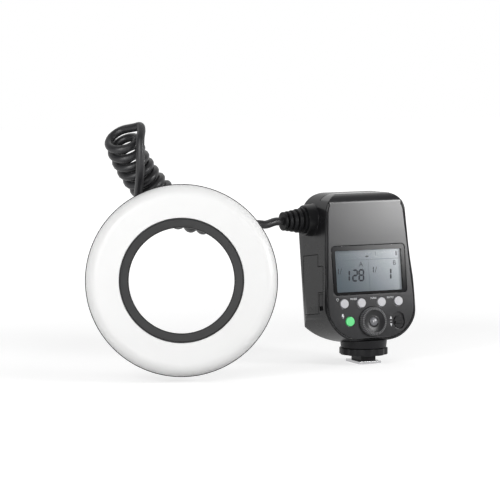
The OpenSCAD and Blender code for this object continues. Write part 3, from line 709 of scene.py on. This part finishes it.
def add_border(bm, outer, inner, place, thickness):
    """A plate between two outlines in millimetres."""
    edges = []
    for outline in (outer, inner):
        loop = lay_points(bm, outline, place)
        edges += [bm.edges.new(pair) for pair in zip(loop, [*loop[1:], loop[0]])]
    thicken(bm, bmesh.ops.bridge_loops(bm, edges=edges)["faces"], place, thickness)


def add_bar(bm, outline, place, width):
    """A straight bar: an outline of radius and height, as wide as width across a place, in millimetres."""
    side = place @ Matrix.Translation(Vector((0, width / 2 * MM, 0))) @ UPRIGHT
    add_flat(bm, outline, side, width * MM)


def add_text(bm, words, height, place, thickness):
    """Words as a thin plate, centred on a place's own plane."""
    letters = bpy.data.curves.new("letters", "FONT")
    letters.body = words
    letters.size = height / CAPITAL_SHARE
    letters.align_x = "CENTER"
    letters.align_y = "CENTER"
    letters.extrude = thickness / 2
    letters.resolution_u = 3
    holder = bpy.data.objects.new("letters", letters)
    bpy.context.scene.collection.objects.link(holder)
    shown = holder.evaluated_get(bpy.context.evaluated_depsgraph_get())
    mesh = bpy.data.meshes.new_from_object(shown)
    mesh.transform(place)
    bm.from_mesh(mesh)
    bpy.data.objects.remove(holder)
    bpy.data.meshes.remove(mesh)
    bpy.data.curves.remove(letters)


def add_turned(bm, profile, place, steps):
    """A turned form: a profile of radius and height in millimetres, spun round a place's own upright."""
    start = [bm.verts.new(place @ Vector((r * MM, 0, h * MM))) for r, h in profile]
    edges = [bm.edges.new(pair) for pair in zip(start, start[1:])]
    if profile[0][0] > 0:
        edges.append(bm.edges.new((start[-1], start[0])))
    bmesh.ops.spin(
        bm,
        geom=[*start, *edges],
        cent=place.translation,
        axis=place.to_3x3() @ Vector((0, 0, 1)),
        angle=2 * math.pi,
        steps=steps,
        use_merge=True,
        use_duplicate=False,
    )
    bmesh.ops.remove_doubles(bm, verts=bm.verts[:], dist=WELD)
    bmesh.ops.recalc_face_normals(bm, faces=bm.faces[:])


def panel_spot(x, z, lift=0.0):
    """A place on the panel, its own plane along the panel, lifted towards the user, in millimetres."""
    return ON_PANEL @ Matrix.Translation(Vector((x, z, lift)) * MM)


def beside(spot, offset):
    return spot[0] + offset[0], spot[1] + offset[1]


# Outlines and figures


SEGMENTS = {"1": "bc", "2": "abged", "8": "abcdefg"}
SEGMENT_ENDS = {
    "a": ((0, 1), (1, 1)),
    "b": ((1, 1), (1, 0.5)),
    "c": ((1, 0.5), (1, 0)),
    "d": ((0, 0), (1, 0)),
    "e": ((0, 0.5), (0, 0)),
    "f": ((0, 1), (0, 0.5)),
    "g": ((0, 0.5), (1, 0.5)),
}


def add_segment(bm, start, end, width, place, thickness):
    """One bar of a figure, pointed at both ends."""
    start, end = Vector(start), Vector(end)
    along = (end - start).normalized()
    side = Vector((-along.y, along.x)) * width / 2
    start += along * width * BAR_GAP
    end -= along * width * BAR_GAP
    point = along * width / 2
    lower = [start, start + point - side, end - point - side]
    upper = [end, end - point + side, start + point + side]
    add_flat(bm, lower + upper, place, thickness)


def add_figure(bm, digit, left, bottom, height, place, thickness):
    """A seven-bar figure, its lower left corner in millimetres from a place."""
    wide = height * FIGURE_WIDTH
    for bar in SEGMENTS[digit]:
        ends = []
        for u, v in SEGMENT_ENDS[bar]:
            ends.append((left + u * wide + FIGURE_SLANT * v * height, bottom + v * height))
        add_segment(bm, ends[0], ends[1], height * FIGURE_BAR, place, thickness)


def display_spot(u, v):
    """Millimetres on the panel of a share of the display's width from its left and height from its top."""
    x = DISPLAY_MIDDLE[0] + (u - 0.5) * DISPLAY_SIZE[0]
    z = DISPLAY_MIDDLE[1] + (0.5 - v) * DISPLAY_SIZE[1]
    return x, z


def bar_outline(x0, z0, x1, z1):
    return [(x0, z0), (x1, z0), (x1, z1), (x0, z1)]


def sector_outline(x, z, r, start, stop, count):
    """Points along a bow from one angle to another, in degrees."""
    points = []
    for i in range(count):
        angle = math.radians(start) + math.radians(stop - start) * i / (count - 1)
        points.append((x + r * math.cos(angle), z + r * math.sin(angle)))
    return points


def rounded_outline(middle, size, corner, count=8):
    """Points round a rectangle with rounded corners."""
    points = []
    for i, (u, v) in enumerate(((1, 1), (-1, 1), (-1, -1), (1, -1))):
        x = middle[0] + u * (size[0] / 2 - corner)
        z = middle[1] + v * (size[1] / 2 - corner)
        points += sector_outline(x, z, corner, 90 * i, 90 * i + 90, count)
    return points


def bow_outline(x, z, inner, outer, start, stop, count=16):
    """Points round a bow with a thickness."""
    far = sector_outline(x, z, outer, start, stop, count)
    near = sector_outline(x, z, inner, start, stop, count)
    return [*far, *reversed(near)]


def shifted(outline, x, z):
    return [(x + u, z + v) for u, v in outline]


# The cord's route, in millimetres, from the control unit's sleeve to the ring's sleeve


SLEEVE_TIP = Vector((-58.0, 20.06, 106.23))
COIL_MIDDLE = (
    (-84, 20.5, 105.5),
    (-94, 20.5, 107),
    (-106, 21.5, 110.5),
    (-125, 24, 113),
    (-141, 26, 117.5),
    (-154, 27, 126.5),
    (-165, 26.5, 137.5),
    (-174, 24.5, 148),
    (-182, 21.5, 159.5),
    (-189.5, 17.5, 172.5),
)
COIL_SPREAD = (
    (0, 60),
    (10, 18),
    (16, 6),
    (22, 2.4),
    (30, 1.34),
    (40, 1.26),
    (52, 1.32),
    (76, 1.34),
    (90, 1.22),
    (105, 1.16),
    (115, 1.15),
    (200, 1.15),
)
TIGHT_PITCH = 6.85
COIL_OPEN = 30.0
COIL_END_ANGLE = -58.0
COIL_END_TAPER = 0.8
COIL_TAPER_LENGTH = 16.0
COIL_START_WAY = Vector((-0.991, 0.108, 0.081)).normalized()
COIL_STEP = 0.5
COIL_ENDING = 0.05
LEAD_SPOT = Vector((-31.2, 56.0, -6.4))
LEAD_POINTS = ((-180, 6, 141.5), (-181.5, 1.5, 151), (-182, 0, 161), (-181, 2, 171), (-178, 7, 177))
MIDDLE_STEPS = 12
UNIT_LEAD_STEPS = 4
RING_LEAD_STEPS = 8


def smooth_line(points, steps):
    """A smooth line through points, with steps pieces between each two."""
    led = [2 * points[0] - points[1], *points, 2 * points[-1] - points[-2]]
    line = []
    for a, b, c, d in zip(led, led[1:], led[2:], led[3:]):
        for k in range(steps):
            t = k / steps
            bend = (2 * a - 5 * b + 4 * c - d) * t * t + (3 * b - a - 3 * c + d) * t**3
            line.append(0.5 * (2 * b + (c - a) * t + bend))
    return [*line, points[-1]]


def between(table, s):
    """The value of a table at s, straight between its rows; values may be numbers or vectors."""
    keys = [row[0] for row in table]
    i = min(max(bisect_right(keys, s), 1), len(table) - 1)
    (s0, a), (s1, b) = table[i - 1], table[i]
    t = min(max((s - s0) / (s1 - s0), 0.0), 1.0)
    return a + (b - a) * t


def running_table(line):
    """Rows of the distance along a line and the point there."""
    rows, gone = [], 0.0
    for i, point in enumerate(line):
        gone += (point - line[i - 1]).length if i else 0.0
        rows.append((gone, point))
    return rows


def coil_line(radius, steps):
    """Points of the curls, and the direction at their end."""
    middle = running_table(smooth_line([Vector(p) for p in COIL_MIDDLE], MIDDLE_STEPS))
    length = middle[-1][0]
    turns, total = [(0.0, 0.0)], 0.0
    for i in range(1, int(length / COIL_STEP) + 1):
        here = i * COIL_STEP
        rate = 0.5 / (TIGHT_PITCH * between(COIL_SPREAD, here))
        rate += 0.5 / (TIGHT_PITCH * between(COIL_SPREAD, here - COIL_STEP))
        total += rate * COIL_STEP
        turns.append((here, total))
    rest = length - turns[-1][0]
    total += rest / (TIGHT_PITCH * between(COIL_SPREAD, length))
    turns.append((length + 1e-6, total))

    def curl(s):
        ahead = between(middle, min(s + COIL_STEP, length))
        way = (ahead - between(middle, max(s - COIL_STEP, 0))).normalized()
        side = Vector((0, 1, 0))
        side = (side - side.dot(way) * way).normalized()
        angle = math.radians(COIL_END_ANGLE - 360 * (between(turns, s) - total))
        if s < COIL_OPEN:
            reach = radius * (1 - math.cos(math.pi * s / COIL_OPEN)) / 2
        else:
            near_end = max(0.0, (s - length + COIL_TAPER_LENGTH) / COIL_TAPER_LENGTH)
            reach = radius - COIL_END_TAPER * near_end**2
        return between(middle, s) + reach * (math.cos(angle) * side + math.sin(angle) * way.cross(side))

    marks = [(steps * turn + min(s, COIL_OPEN) / 2, s) for s, turn in turns]
    count = int(marks[-1][0])
    points = [curl(between(marks, marks[-1][0] * i / count)) for i in range(count + 1)]
    end_way = (curl(length) - curl(length - COIL_ENDING)).normalized()
    return points, end_way


def straight(tip, way, diameter):
    return [tip + 0.25 * diameter * way, tip + diameter * way]


def cord_line(diameter, radius, steps):
    """The whole middle line of the cord, in millimetres."""
    curls, end_way = coil_line(radius, steps)
    coil_start = curls[0] - diameter * COIL_START_WAY
    coil_end = curls[-1] + diameter * end_way
    out = straight(SLEEVE_TIP, Vector((-1, 0, 0)), diameter)
    back = reversed(straight(coil_start, -COIL_START_WAY, diameter))
    unit_lead = smooth_line([*out, *back], UNIT_LEAD_STEPS)
    ring_up = IN_RING.to_3x3() @ Vector((0, 1, 0))
    lead_tip = RING_POS + IN_RING.to_3x3() @ LEAD_SPOT
    out = straight(lead_tip, ring_up, diameter)
    away = [Vector(p) for p in LEAD_POINTS]
    back = reversed(straight(coil_end, end_way, diameter))
    ring_lead = smooth_line([*out, *away, *back], RING_LEAD_STEPS)
    return [SLEEVE_TIP, *unit_lead, coil_start, *curls, coil_end, *reversed(ring_lead), lead_tip]


# Operators


class FLASH_OT_case(bpy.types.Operator):
    """Finish the case mouldings, the battery cap with its latch, and the cord sleeve"""

    bl_idname = "flash.case"
    bl_label = "Case"

    def execute(self, context):
        edge = sizes().edge_round
        softened("case_shell", "case", edge, shape=lean_rim)
        softened("panel_cover", "panel", edge)
        softened("battery_pack", "case", edge * 0.7)
        softened("battery_latch", "trim", edge * 0.7)
        softened("af_window", "red", edge)
        softened("case_screws", "steel", edge * 0.5)
        softened("unit_strain_relief", "rubber", edge)
        return {"FINISHED"}


class FLASH_OT_display(bpy.types.Operator):
    """Finish the window, its mask and the display cell, and draw the figures"""

    bl_idname = "flash.display"
    bl_label = "Display"

    def execute(self, context):
        softened("lcd_window", "window", sizes().edge_round * 0.8, 3)
        dress("lcd_frame", "mask")
        dress("lcd_module", "display")
        self.print_border()
        self.draw_figures()
        self.draw_dividers()
        return {"FINISHED"}

    def print_border(self):
        """The black border printed round the window."""
        bm = bmesh.new()
        size = [side - 2 * BORDER_INSET for side in WINDOW_SIZE]
        outer = rounded_outline(WINDOW_MIDDLE, size, WINDOW_CORNER - BORDER_INSET)
        inner = rounded_outline(DISPLAY_MIDDLE, DISPLAY_SIZE, BORDER_CORNER)
        add_border(bm, outer, inner, panel_spot(0, 0, BORDER_LIFT - WINDOW_SINK), INK * MM)
        add_piece("window_border", bm, "mask", "main")

    def draw_figures(self):
        """The large figures, the fractions, the group letters and the signs of the top row."""
        tall = sizes().figure_height / MM
        bm = bmesh.new()
        place = panel_spot(0, 0, -DISPLAY_DEPTH)
        for digit, column in FIGURES:
            x, z = display_spot(column, FIGURE_ROW)
            add_figure(bm, digit, x, z, tall, place, INK * MM)
        small = tall * FRACTION_SIZE
        for column in FRACTIONS:
            x, z = display_spot(column, FRACTION_ROW)
            add_figure(bm, "1", x + FRACTION_SHIFT, z, small, place, INK * MM)
            stroke = [*((u, 0) for u in STROKE_FOOT), *((u, small) for u in STROKE_HEAD)]
            add_flat(bm, shifted(stroke, x, z), place, INK * MM)
        for letter, column in LETTERS:
            spot = Vector((*display_spot(column, LETTER_ROW), 0)) * MM
            add_text(bm, letter, LETTER_HEIGHT * MM, place @ Matrix.Translation(spot), INK * MM)
        add_flat(bm, bow_outline(*display_spot(*TOP_BOW_SPOT), *TOP_BOW), place, INK * MM)
        for share, bars in TOP_SIGNS:
            for bar in bars:
                add_flat(bm, shifted(bar_outline(*bar), *display_spot(*share)), place, INK * MM)
        add_piece("display_figures", bm, "ink", "main")

    def draw_dividers(self):
        bm = bmesh.new()
        place = panel_spot(0, 0, -DISPLAY_DEPTH)
        left, top = display_spot(0.0, DIVIDER_ROW)
        right = display_spot(1.0, DIVIDER_ROW)[0]
        middle, low = display_spot(DIVIDER_COLUMN, DIVIDER_END)
        half = DIVIDER_HALF
        add_flat(bm, bar_outline(left, top - half, right, top + half), place, FAINT_INK * MM)
        add_flat(bm, bar_outline(middle - half, low, middle + half, top - half), place, FAINT_INK * MM)
        add_piece("display_dividers", bm, "faint ink", "main")


class FLASH_OT_controls(bpy.types.Operator):
    """Finish the buttons, the dial and the switch, and print the panel's signs"""

    bl_idname = "flash.controls"
    bl_label = "Controls"

    def execute(self, context):
        edge = sizes().edge_round
        for number in range(1, 5):
            softened("function_button_%d" % number, "button", edge)
        softened("test_button", "test", edge)
        self.make_dial()
        self.make_ribs()
        self.make_set()
        softened("power_switch", "trim", edge * 0.7)
        self.print_signs()
        self.print_set()
        return {"FINISHED"}

    def make_dial(self):
        """The dial: a turned body with a rounded edge, a dished face and a pocket for the set button."""
        bm = bmesh.new()
        start = DIAL_RADIUS - DISH_INSET
        reach = start - DIAL_POCKET - DISH_END
        dish = []
        for i in range(DISH_STEPS + 1):
            t = i / DISH_STEPS
            dish.append((start - t * reach, DIAL_RISE - DISH_TOP - DISH_DEPTH * math.sin(t * DISH_SWEEP)))
        profile = [
            (STEM_HOLE, -HUB_DEPTH),
            (HUB_RADIUS, -HUB_DEPTH),
            (HUB_RADIUS, -DIAL_SINK),
            (DIAL_RADIUS, -DIAL_SINK),
            *((DIAL_RADIUS - inset, DIAL_RISE - drop) for inset, drop in DIAL_EDGE),
            *dish,
            *((DIAL_POCKET + away, DIAL_RISE - drop) for away, drop in POCKET_EDGE),
            (DIAL_POCKET, -POCKET_DEPTH),
            (STEM_HOLE, -POCKET_DEPTH),
        ]
        add_turned(bm, profile, panel_spot(0, DIAL_Z), DIAL_STEPS)
        piece = add_piece("control_dial_finished", bm, "dial", "control_dial", TURNED_ANGLE)
        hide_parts("control_dial")

    def make_ribs(self):
        """The ribs down the dial's side and the teeth on its edge."""
        bm = bmesh.new()
        low, high = RIB_FROM - DIAL_SINK, DIAL_RISE - RIB_TO
        root, face = DIAL_RADIUS - RIB_ROOT, DIAL_RADIUS + RIB_PROUD
        rib = [(root, low), (face, low), (face, high - RIB_SLOPE), (root, high)]
        foot = Vector((DIAL_RADIUS, DIAL_RISE)) + TOOTH_FOOT
        top = foot + TOOTH_RUN
        tooth = [foot, foot + TOOTH_LIFT, top + TOOTH_LIFT, top]
        for i in range(DIAL_RIBS):
            angle = 2 * math.pi * (i + 0.5) / DIAL_RIBS
            place = panel_spot(0, DIAL_Z) @ Matrix.Rotation(angle, 4, "Z")
            add_bar(bm, rib, place, RIB_WIDTH)
            add_bar(bm, tooth, place, RIB_WIDTH)
        # The ribs' lighter grey is a painted highlight on the dial's black moulding
        add_piece("control_dial_ribs", bm, "ribs", "control_dial", TURNED_ANGLE)

    def make_set(self):
        """The button in the dial, with a domed top."""
        bm = bmesh.new()
        crown = []
        for i in range(SET_CROWN + 1):
            angle = math.radians(90 * i / SET_CROWN)
            crown.append((SET_RADIUS * math.cos(angle), SET_RISE - SET_DOME + SET_DOME * math.sin(angle)))
        profile = [
            (0, -SET_STEM),
            (STEM_RADIUS, -SET_STEM),
            (STEM_RADIUS, -SET_BASE),
            (SET_RADIUS, -SET_BASE),
            *crown,
        ]
        add_turned(bm, profile, panel_spot(0, DIAL_Z), SET_STEPS)
        piece = add_piece("set_button_finished", bm, "set", "set_button")
        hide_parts("set_button")

    def print_signs(self):
        """The words and the bulb at the buttons, the bolt at the test button, the arrows at the switch."""
        bm = bmesh.new()
        place = panel_spot(0, 0, PRINT_LIFT)
        thin = INK * MM
        for (words, dx, dz), x in zip(BUTTON_WORDS, BUTTON_XS[1:]):
            spot = Vector((x + dx, BUTTON_Z + dz, 0)) * MM
            add_text(bm, words, sizes().print_height, place @ Matrix.Translation(spot), thin)
        x, z = beside((BUTTON_XS[0], BUTTON_Z), BULB_SPOT)
        add_flat(bm, bow_outline(x, z + BULB_RISE, *BULB_BOW), place, thin)
        add_flat(bm, shifted(bar_outline(*BULB_BASE), x, z), place, thin)
        add_flat(bm, shifted(BOLT, *beside(TEST_SPOT, BOLT_SPOT)), place, thin)
        x, z = beside(SWITCH_SPOT, ARROW_SPOT)
        for flip in (1, -1):
            add_flat(bm, [(x + u, z + flip * v) for u, v in ARROW], place, thin)
        add_flat(bm, shifted(bar_outline(*ARROW_DASH), x, z), place, thin)
        add_piece("panel_signs", bm, "print", "main")

    def print_set(self):
        bm = bmesh.new()
        add_text(bm, "SET", SET_PRINT * MM, panel_spot(0, DIAL_Z, SET_RISE), SET_INK * MM)
        add_piece("set_sign", bm, "print", "set_button")


class FLASH_OT_foot(bpy.types.Operator):
    """Finish the foot, its lock ring, its plate and its contacts"""

    bl_idname = "flash.foot"
    bl_label = "Foot"

    def execute(self, context):
        edge = sizes().edge_round
        softened("foot_collar", "trim", edge * 0.7)
        softened("shoe_foot", "trim", edge * 0.6)
        softened("shoe_plate", "plate", edge * 0.7)
        softened("lock_ring", "trim", edge * 1.4)
        softened("contact_pins", "gold", edge * 0.5)
        dress("lock_pin", "steel")
        return {"FINISHED"}


class FLASH_OT_ring_head(bpy.types.Operator):
    """Finish the ring head: its shell, diffuser, baffle, mounting tube, tubes and release slides"""

    bl_idname = "flash.ring_head"
    bl_label = "Ring head"

    def execute(self, context):
        edge = sizes().edge_round
        softened("ring_housing", "trim", edge)
        softened("ring_diffuser", "diffuser", edge)
        softened("inner_baffle", "baffle", edge * 0.6)
        softened("mount_ring", "trim", edge * 0.8)
        softened("release_left", "trim", edge * 0.6)
        softened("release_right", "trim", edge * 0.6)
        softened("ring_screws", "steel", edge * 0.5)
        softened("ring_strain_relief", "rubber", edge)
        dress("tube_reflector", "mirror")
        dress("flash_tube_left", "tube")
        dress("flash_tube_right", "tube")
        dress("ring_board", "board")
        self.wind_spring("latch_spring_left", "release_left_press", 1)
        self.wind_spring("latch_spring_right", "release_right_press", 0)
        return {"FINISHED"}

    def wind_spring(self, node, joint, post_end):
        """A wound spring in a CAD spring's place, on the CAD spring's body."""
        spots = [IN_RING.inverted() @ v.co / MM for v in frame["nodes"][node].data.vertices]
        ends = [Vector([pick(p[i] for p in spots) for i in range(3)]) for pick in (min, max)]
        middle = (ends[0] + ends[1]) / 2
        half = (ends[1].x - ends[0].x - SPRING_WIRE) / 2
        reach = (ends[1].y - ends[0].y - SPRING_WIRE) / 2
        along = IN_RING.to_3x3() @ Vector((1, 0, 0))
        start = Matrix.Translation((middle + Vector((-half, reach, 0))) * MM)
        lead = Matrix.Rotation(math.atan2(half / (math.pi * SPRING_TURNS), reach), 4, "Y")
        steps = SPRING_TURNS * SPRING_STEPS
        bm = bmesh.new()
        bmesh.ops.create_circle(
            bm,
            cap_ends=True,
            segments=SPRING_SIDES,
            radius=SPRING_WIRE / 2 * MM,
            matrix=IN_RING @ start @ lead,
        )
        bmesh.ops.spin(
            bm,
            geom=[*bm.verts, *bm.edges, *bm.faces],
            cent=IN_RING @ (middle * MM),
            axis=along,
            dvec=along * (2 * half / steps * MM),
            angle=2 * math.pi * SPRING_TURNS,
            steps=steps,
            use_merge=False,
            use_duplicate=False,
        )
        bmesh.ops.recalc_face_normals(bm, faces=bm.faces[:])
        piece = add_piece(node + "_wound", bm, "steel", body_of(node), WIRE_ANGLE)
        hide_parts(node)
        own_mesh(piece)


class FLASH_OT_inside(bpy.types.Operator):
    """Finish what is inside the control unit"""

    bl_idname = "flash.inside"
    bl_label = "Inside"

    def execute(self, context):
        dress("main_board", "board")
        dress("tact_switches", "trim")
        dress("dial_encoder", "steel")
        dress("slide_switch", "steel")
        dress("flash_capacitor", "sleeve")
        dress("battery_contacts", "gold")
        return {"FINISHED"}


class FLASH_OT_cord(bpy.types.Operator):
    """Lay the cord: a straight lead, the curls, and the lead that comes down to the ring"""

    bl_idname = "flash.cord"
    bl_label = "Cord"

    def execute(self, context):
        own = sizes()
        route = cord_line(own.cord_diameter / MM, own.curl_radius / MM, own.curl_steps)
        line = [p * MM for p in route]
        curve = bpy.data.curves.new("curly_cord", "CURVE")
        curve.dimensions = "3D"
        curve.bevel_depth = own.cord_diameter / 2
        curve.bevel_resolution = 5
        curve.use_fill_caps = True
        run = curve.splines.new("POLY")
        run.points.add(len(line) - 1)
        for knot, point in zip(run.points, line):
            knot.co = (*point, 1)
        run.use_smooth = True
        cord = bpy.data.objects.new("curly_cord", curve)
        context.scene.collection.objects.link(cord)
        curve.materials.append(finish("cord"))
        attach(cord, "main")
        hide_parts("cord_unit_lead", "cord_coil", "cord_ring_lead")
        return {"FINISHED"}


class FLASH_OT_stage(bpy.types.Operator):
    """Set the white floor, the soft light and the camera"""

    bl_idname = "flash.stage"
    bl_label = "Stage"

    def execute(self, context):
        context.scene.view_settings.view_transform = "Standard"
        right, up, towards = self.view_axes()
        self.lay_floor()
        self.light_world(context.scene, towards)
        self.hang_lamps(right, up, towards)
        self.set_camera(context.scene, right, up, towards)
        return {"FINISHED"}

    def view_axes(self):
        turn, lift = math.radians(VIEW_AZIMUTH), math.radians(VIEW_ELEVATION)
        flat = math.cos(lift)
        towards = Vector((math.sin(turn) * flat, -math.cos(turn) * flat, math.sin(lift)))
        right = Vector((math.cos(turn), math.sin(turn), 0))
        return right, towards.cross(right), towards

    def lay_floor(self):
        bm = bmesh.new()
        bmesh.ops.create_grid(bm, x_segments=2, y_segments=2, size=FLOOR_REACH / 2)
        bmesh.ops.translate(bm, verts=bm.verts[:], vec=(0, 0, -FLOOR_DROP))
        mesh = bpy.data.meshes.new("studio_floor")
        bm.to_mesh(mesh)
        bm.free()
        floor = bpy.data.objects.new("studio_floor", mesh)
        bpy.context.scene.collection.objects.link(floor)
        mesh.materials.append(self.floor_finish())

    def floor_finish(self):
        """White board: near the object it shows the shadow, further off it is plain white."""
        material, tree, shader, place = node_finish("white floor")
        set_inputs(
            shader,
            {
                "Base Color": (0.5, 0.5, 0.5, 1),
                "Roughness": 0.9,
                "Specular IOR Level": 0.0,
                "Emission Color": (1, 1, 1, 1),
            },
        )
        away = tree.nodes.new("ShaderNodeVectorMath")
        away.operation = "LENGTH"
        tree.links.new(place, away.inputs[0])
        level = ranged(tree, away.outputs["Value"], FLOOR_FADE, FLOOR_GLOW)
        path = tree.nodes.new("ShaderNodeLightPath").outputs
        seen = combined(tree, "MAXIMUM", path["Is Camera Ray"], path["Is Glossy Ray"])
        seen = combined(tree, "MAXIMUM", seen, path["Is Transmission Ray"])
        glow = combined(tree, "MULTIPLY", level, seen)
        tree.links.new(glow, shader.inputs["Emission Strength"])
        return material

    def light_world(self, scene, towards):
        """A white room behind the object and a dim one in front of it; the camera sees plain white."""
        world = bpy.data.worlds.new("white room")
        scene.world = world
        world.use_nodes = True
        tree = world.node_tree
        back = tree.nodes["Background"]
        set_inputs(back, {"Color": (1, 1, 1, 1)})
        place = tree.nodes.new("ShaderNodeTexCoord")
        depth = tree.nodes.new("ShaderNodeVectorMath")
        depth.operation = "DOT_PRODUCT"
        depth.inputs[1].default_value = -towards
        tree.links.new(place.outputs["Generated"], depth.inputs[0])
        room = ranged(tree, depth.outputs["Value"], ROOM_CHANGE, (ROOM_FRONT, ROOM_BACK))
        path = tree.nodes.new("ShaderNodeLightPath").outputs
        mirrored = combined(tree, "MAXIMUM", path["Is Glossy Ray"], path["Is Transmission Ray"])
        bright = combined(tree, "MULTIPLY_ADD", mirrored, ROOM_SEEN / ROOM_BACK - 1.0, 1.0)
        shown = combined(tree, "MULTIPLY", room, bright)
        level = combined(tree, "MAXIMUM", shown, path["Is Camera Ray"])
        tree.links.new(level, back.inputs["Strength"])

    def hang_lamps(self, right, up, towards):
        for name, way, far, wide, tall, power, fade in LAMPS:
            lamp = bpy.data.lights.new(name, "AREA")
            lamp.shape = "RECTANGLE"
            lamp.energy = power
            lamp.size = wide
            lamp.size_y = tall
            holder = bpy.data.objects.new(name, lamp)
            bpy.context.scene.collection.objects.link(holder)
            out = (way[0] * right + way[1] * up + way[2] * towards).normalized()
            holder.location = LAMP_MIDDLE + out * far
            holder.rotation_euler = out.to_track_quat("Z", "Y").to_euler()
            if fade:
                self.fade_in(lamp, fade)

    def fade_in(self, lamp, fade):
        """Lets a lamp fade in from its lower left, as a softbox with a graded cloth."""
        lamp.use_nodes = True
        tree = lamp.node_tree
        face = tree.nodes.new("ShaderNodeNewGeometry")
        parts = tree.nodes.new("ShaderNodeSeparateXYZ")
        tree.links.new(face.outputs["Parametric"], parts.inputs["Vector"])
        ramps = []
        for part, share in zip(parts.outputs, fade):
            ramps.append(ranged(tree, part, (0.0, share), (0.0, 1.0), "SMOOTHSTEP"))
        tree.links.new(combined(tree, "MULTIPLY", *ramps), tree.nodes["Emission"].inputs["Strength"])

    def set_camera(self, scene, right, up, towards):
        lens = bpy.data.cameras.new("photo camera")
        lens.lens = VIEW_LENS
        lens.sensor_width = SENSOR_WIDTH
        lens.clip_start = NEAR_CLIP
        lens.clip_end = FAR_CLIP
        camera = bpy.data.objects.new("photo camera", lens)
        scene.collection.objects.link(camera)
        target = (right * VIEW_SHIFT_RIGHT + up * VIEW_SHIFT_UP) * MM
        turn = Matrix((right, up, towards)).transposed().to_4x4()
        camera.matrix_world = Matrix.Translation(target + towards * VIEW_DISTANCE * MM) @ turn
        scene.camera = camera


STEPS = (
    FLASH_OT_cord,
    FLASH_OT_case,
    FLASH_OT_display,
    FLASH_OT_controls,
    FLASH_OT_foot,
    FLASH_OT_ring_head,
    FLASH_OT_inside,
    FLASH_OT_stage,
)


class FLASH_PT_panel(bpy.types.Panel):
    """Sizes, finishes and steps of the ring flash"""

    bl_idname = "FLASH_PT_panel"
    bl_label = "Ring flash"
    bl_space_type = "VIEW_3D"
    bl_region_type = "UI"
    bl_category = "Ring flash"

    def draw(self, context):
        for group in (sizes(), finishes()):
            box = self.layout.box()
            for name in group.__annotations__:
                box.prop(group, name)
        for step in STEPS:
            self.layout.operator(step.bl_idname)


GROUPS = (FlashSizes, FlashFinishes)


def register():
    for item in (*GROUPS, *STEPS, FLASH_PT_panel):
        bpy.utils.register_class(item)
    bpy.types.Scene.ring_flash_sizes = PointerProperty(type=FlashSizes)
    bpy.types.Scene.ring_flash_finishes = PointerProperty(type=FlashFinishes)


def unregister():
    del bpy.types.Scene.ring_flash_finishes
    del bpy.types.Scene.ring_flash_sizes
    for item in (FLASH_PT_panel, *reversed(STEPS), *reversed(GROUPS)):
        bpy.utils.unregister_class(item)


def main():
    register()
    bpy.ops.flash.cord()
    bpy.ops.flash.case()
    bpy.ops.flash.display()
    bpy.ops.flash.controls()
    bpy.ops.flash.foot()
    bpy.ops.flash.ring_head()
    bpy.ops.flash.inside()
    bpy.ops.flash.stage()


if __name__ == "__main__":
    main()
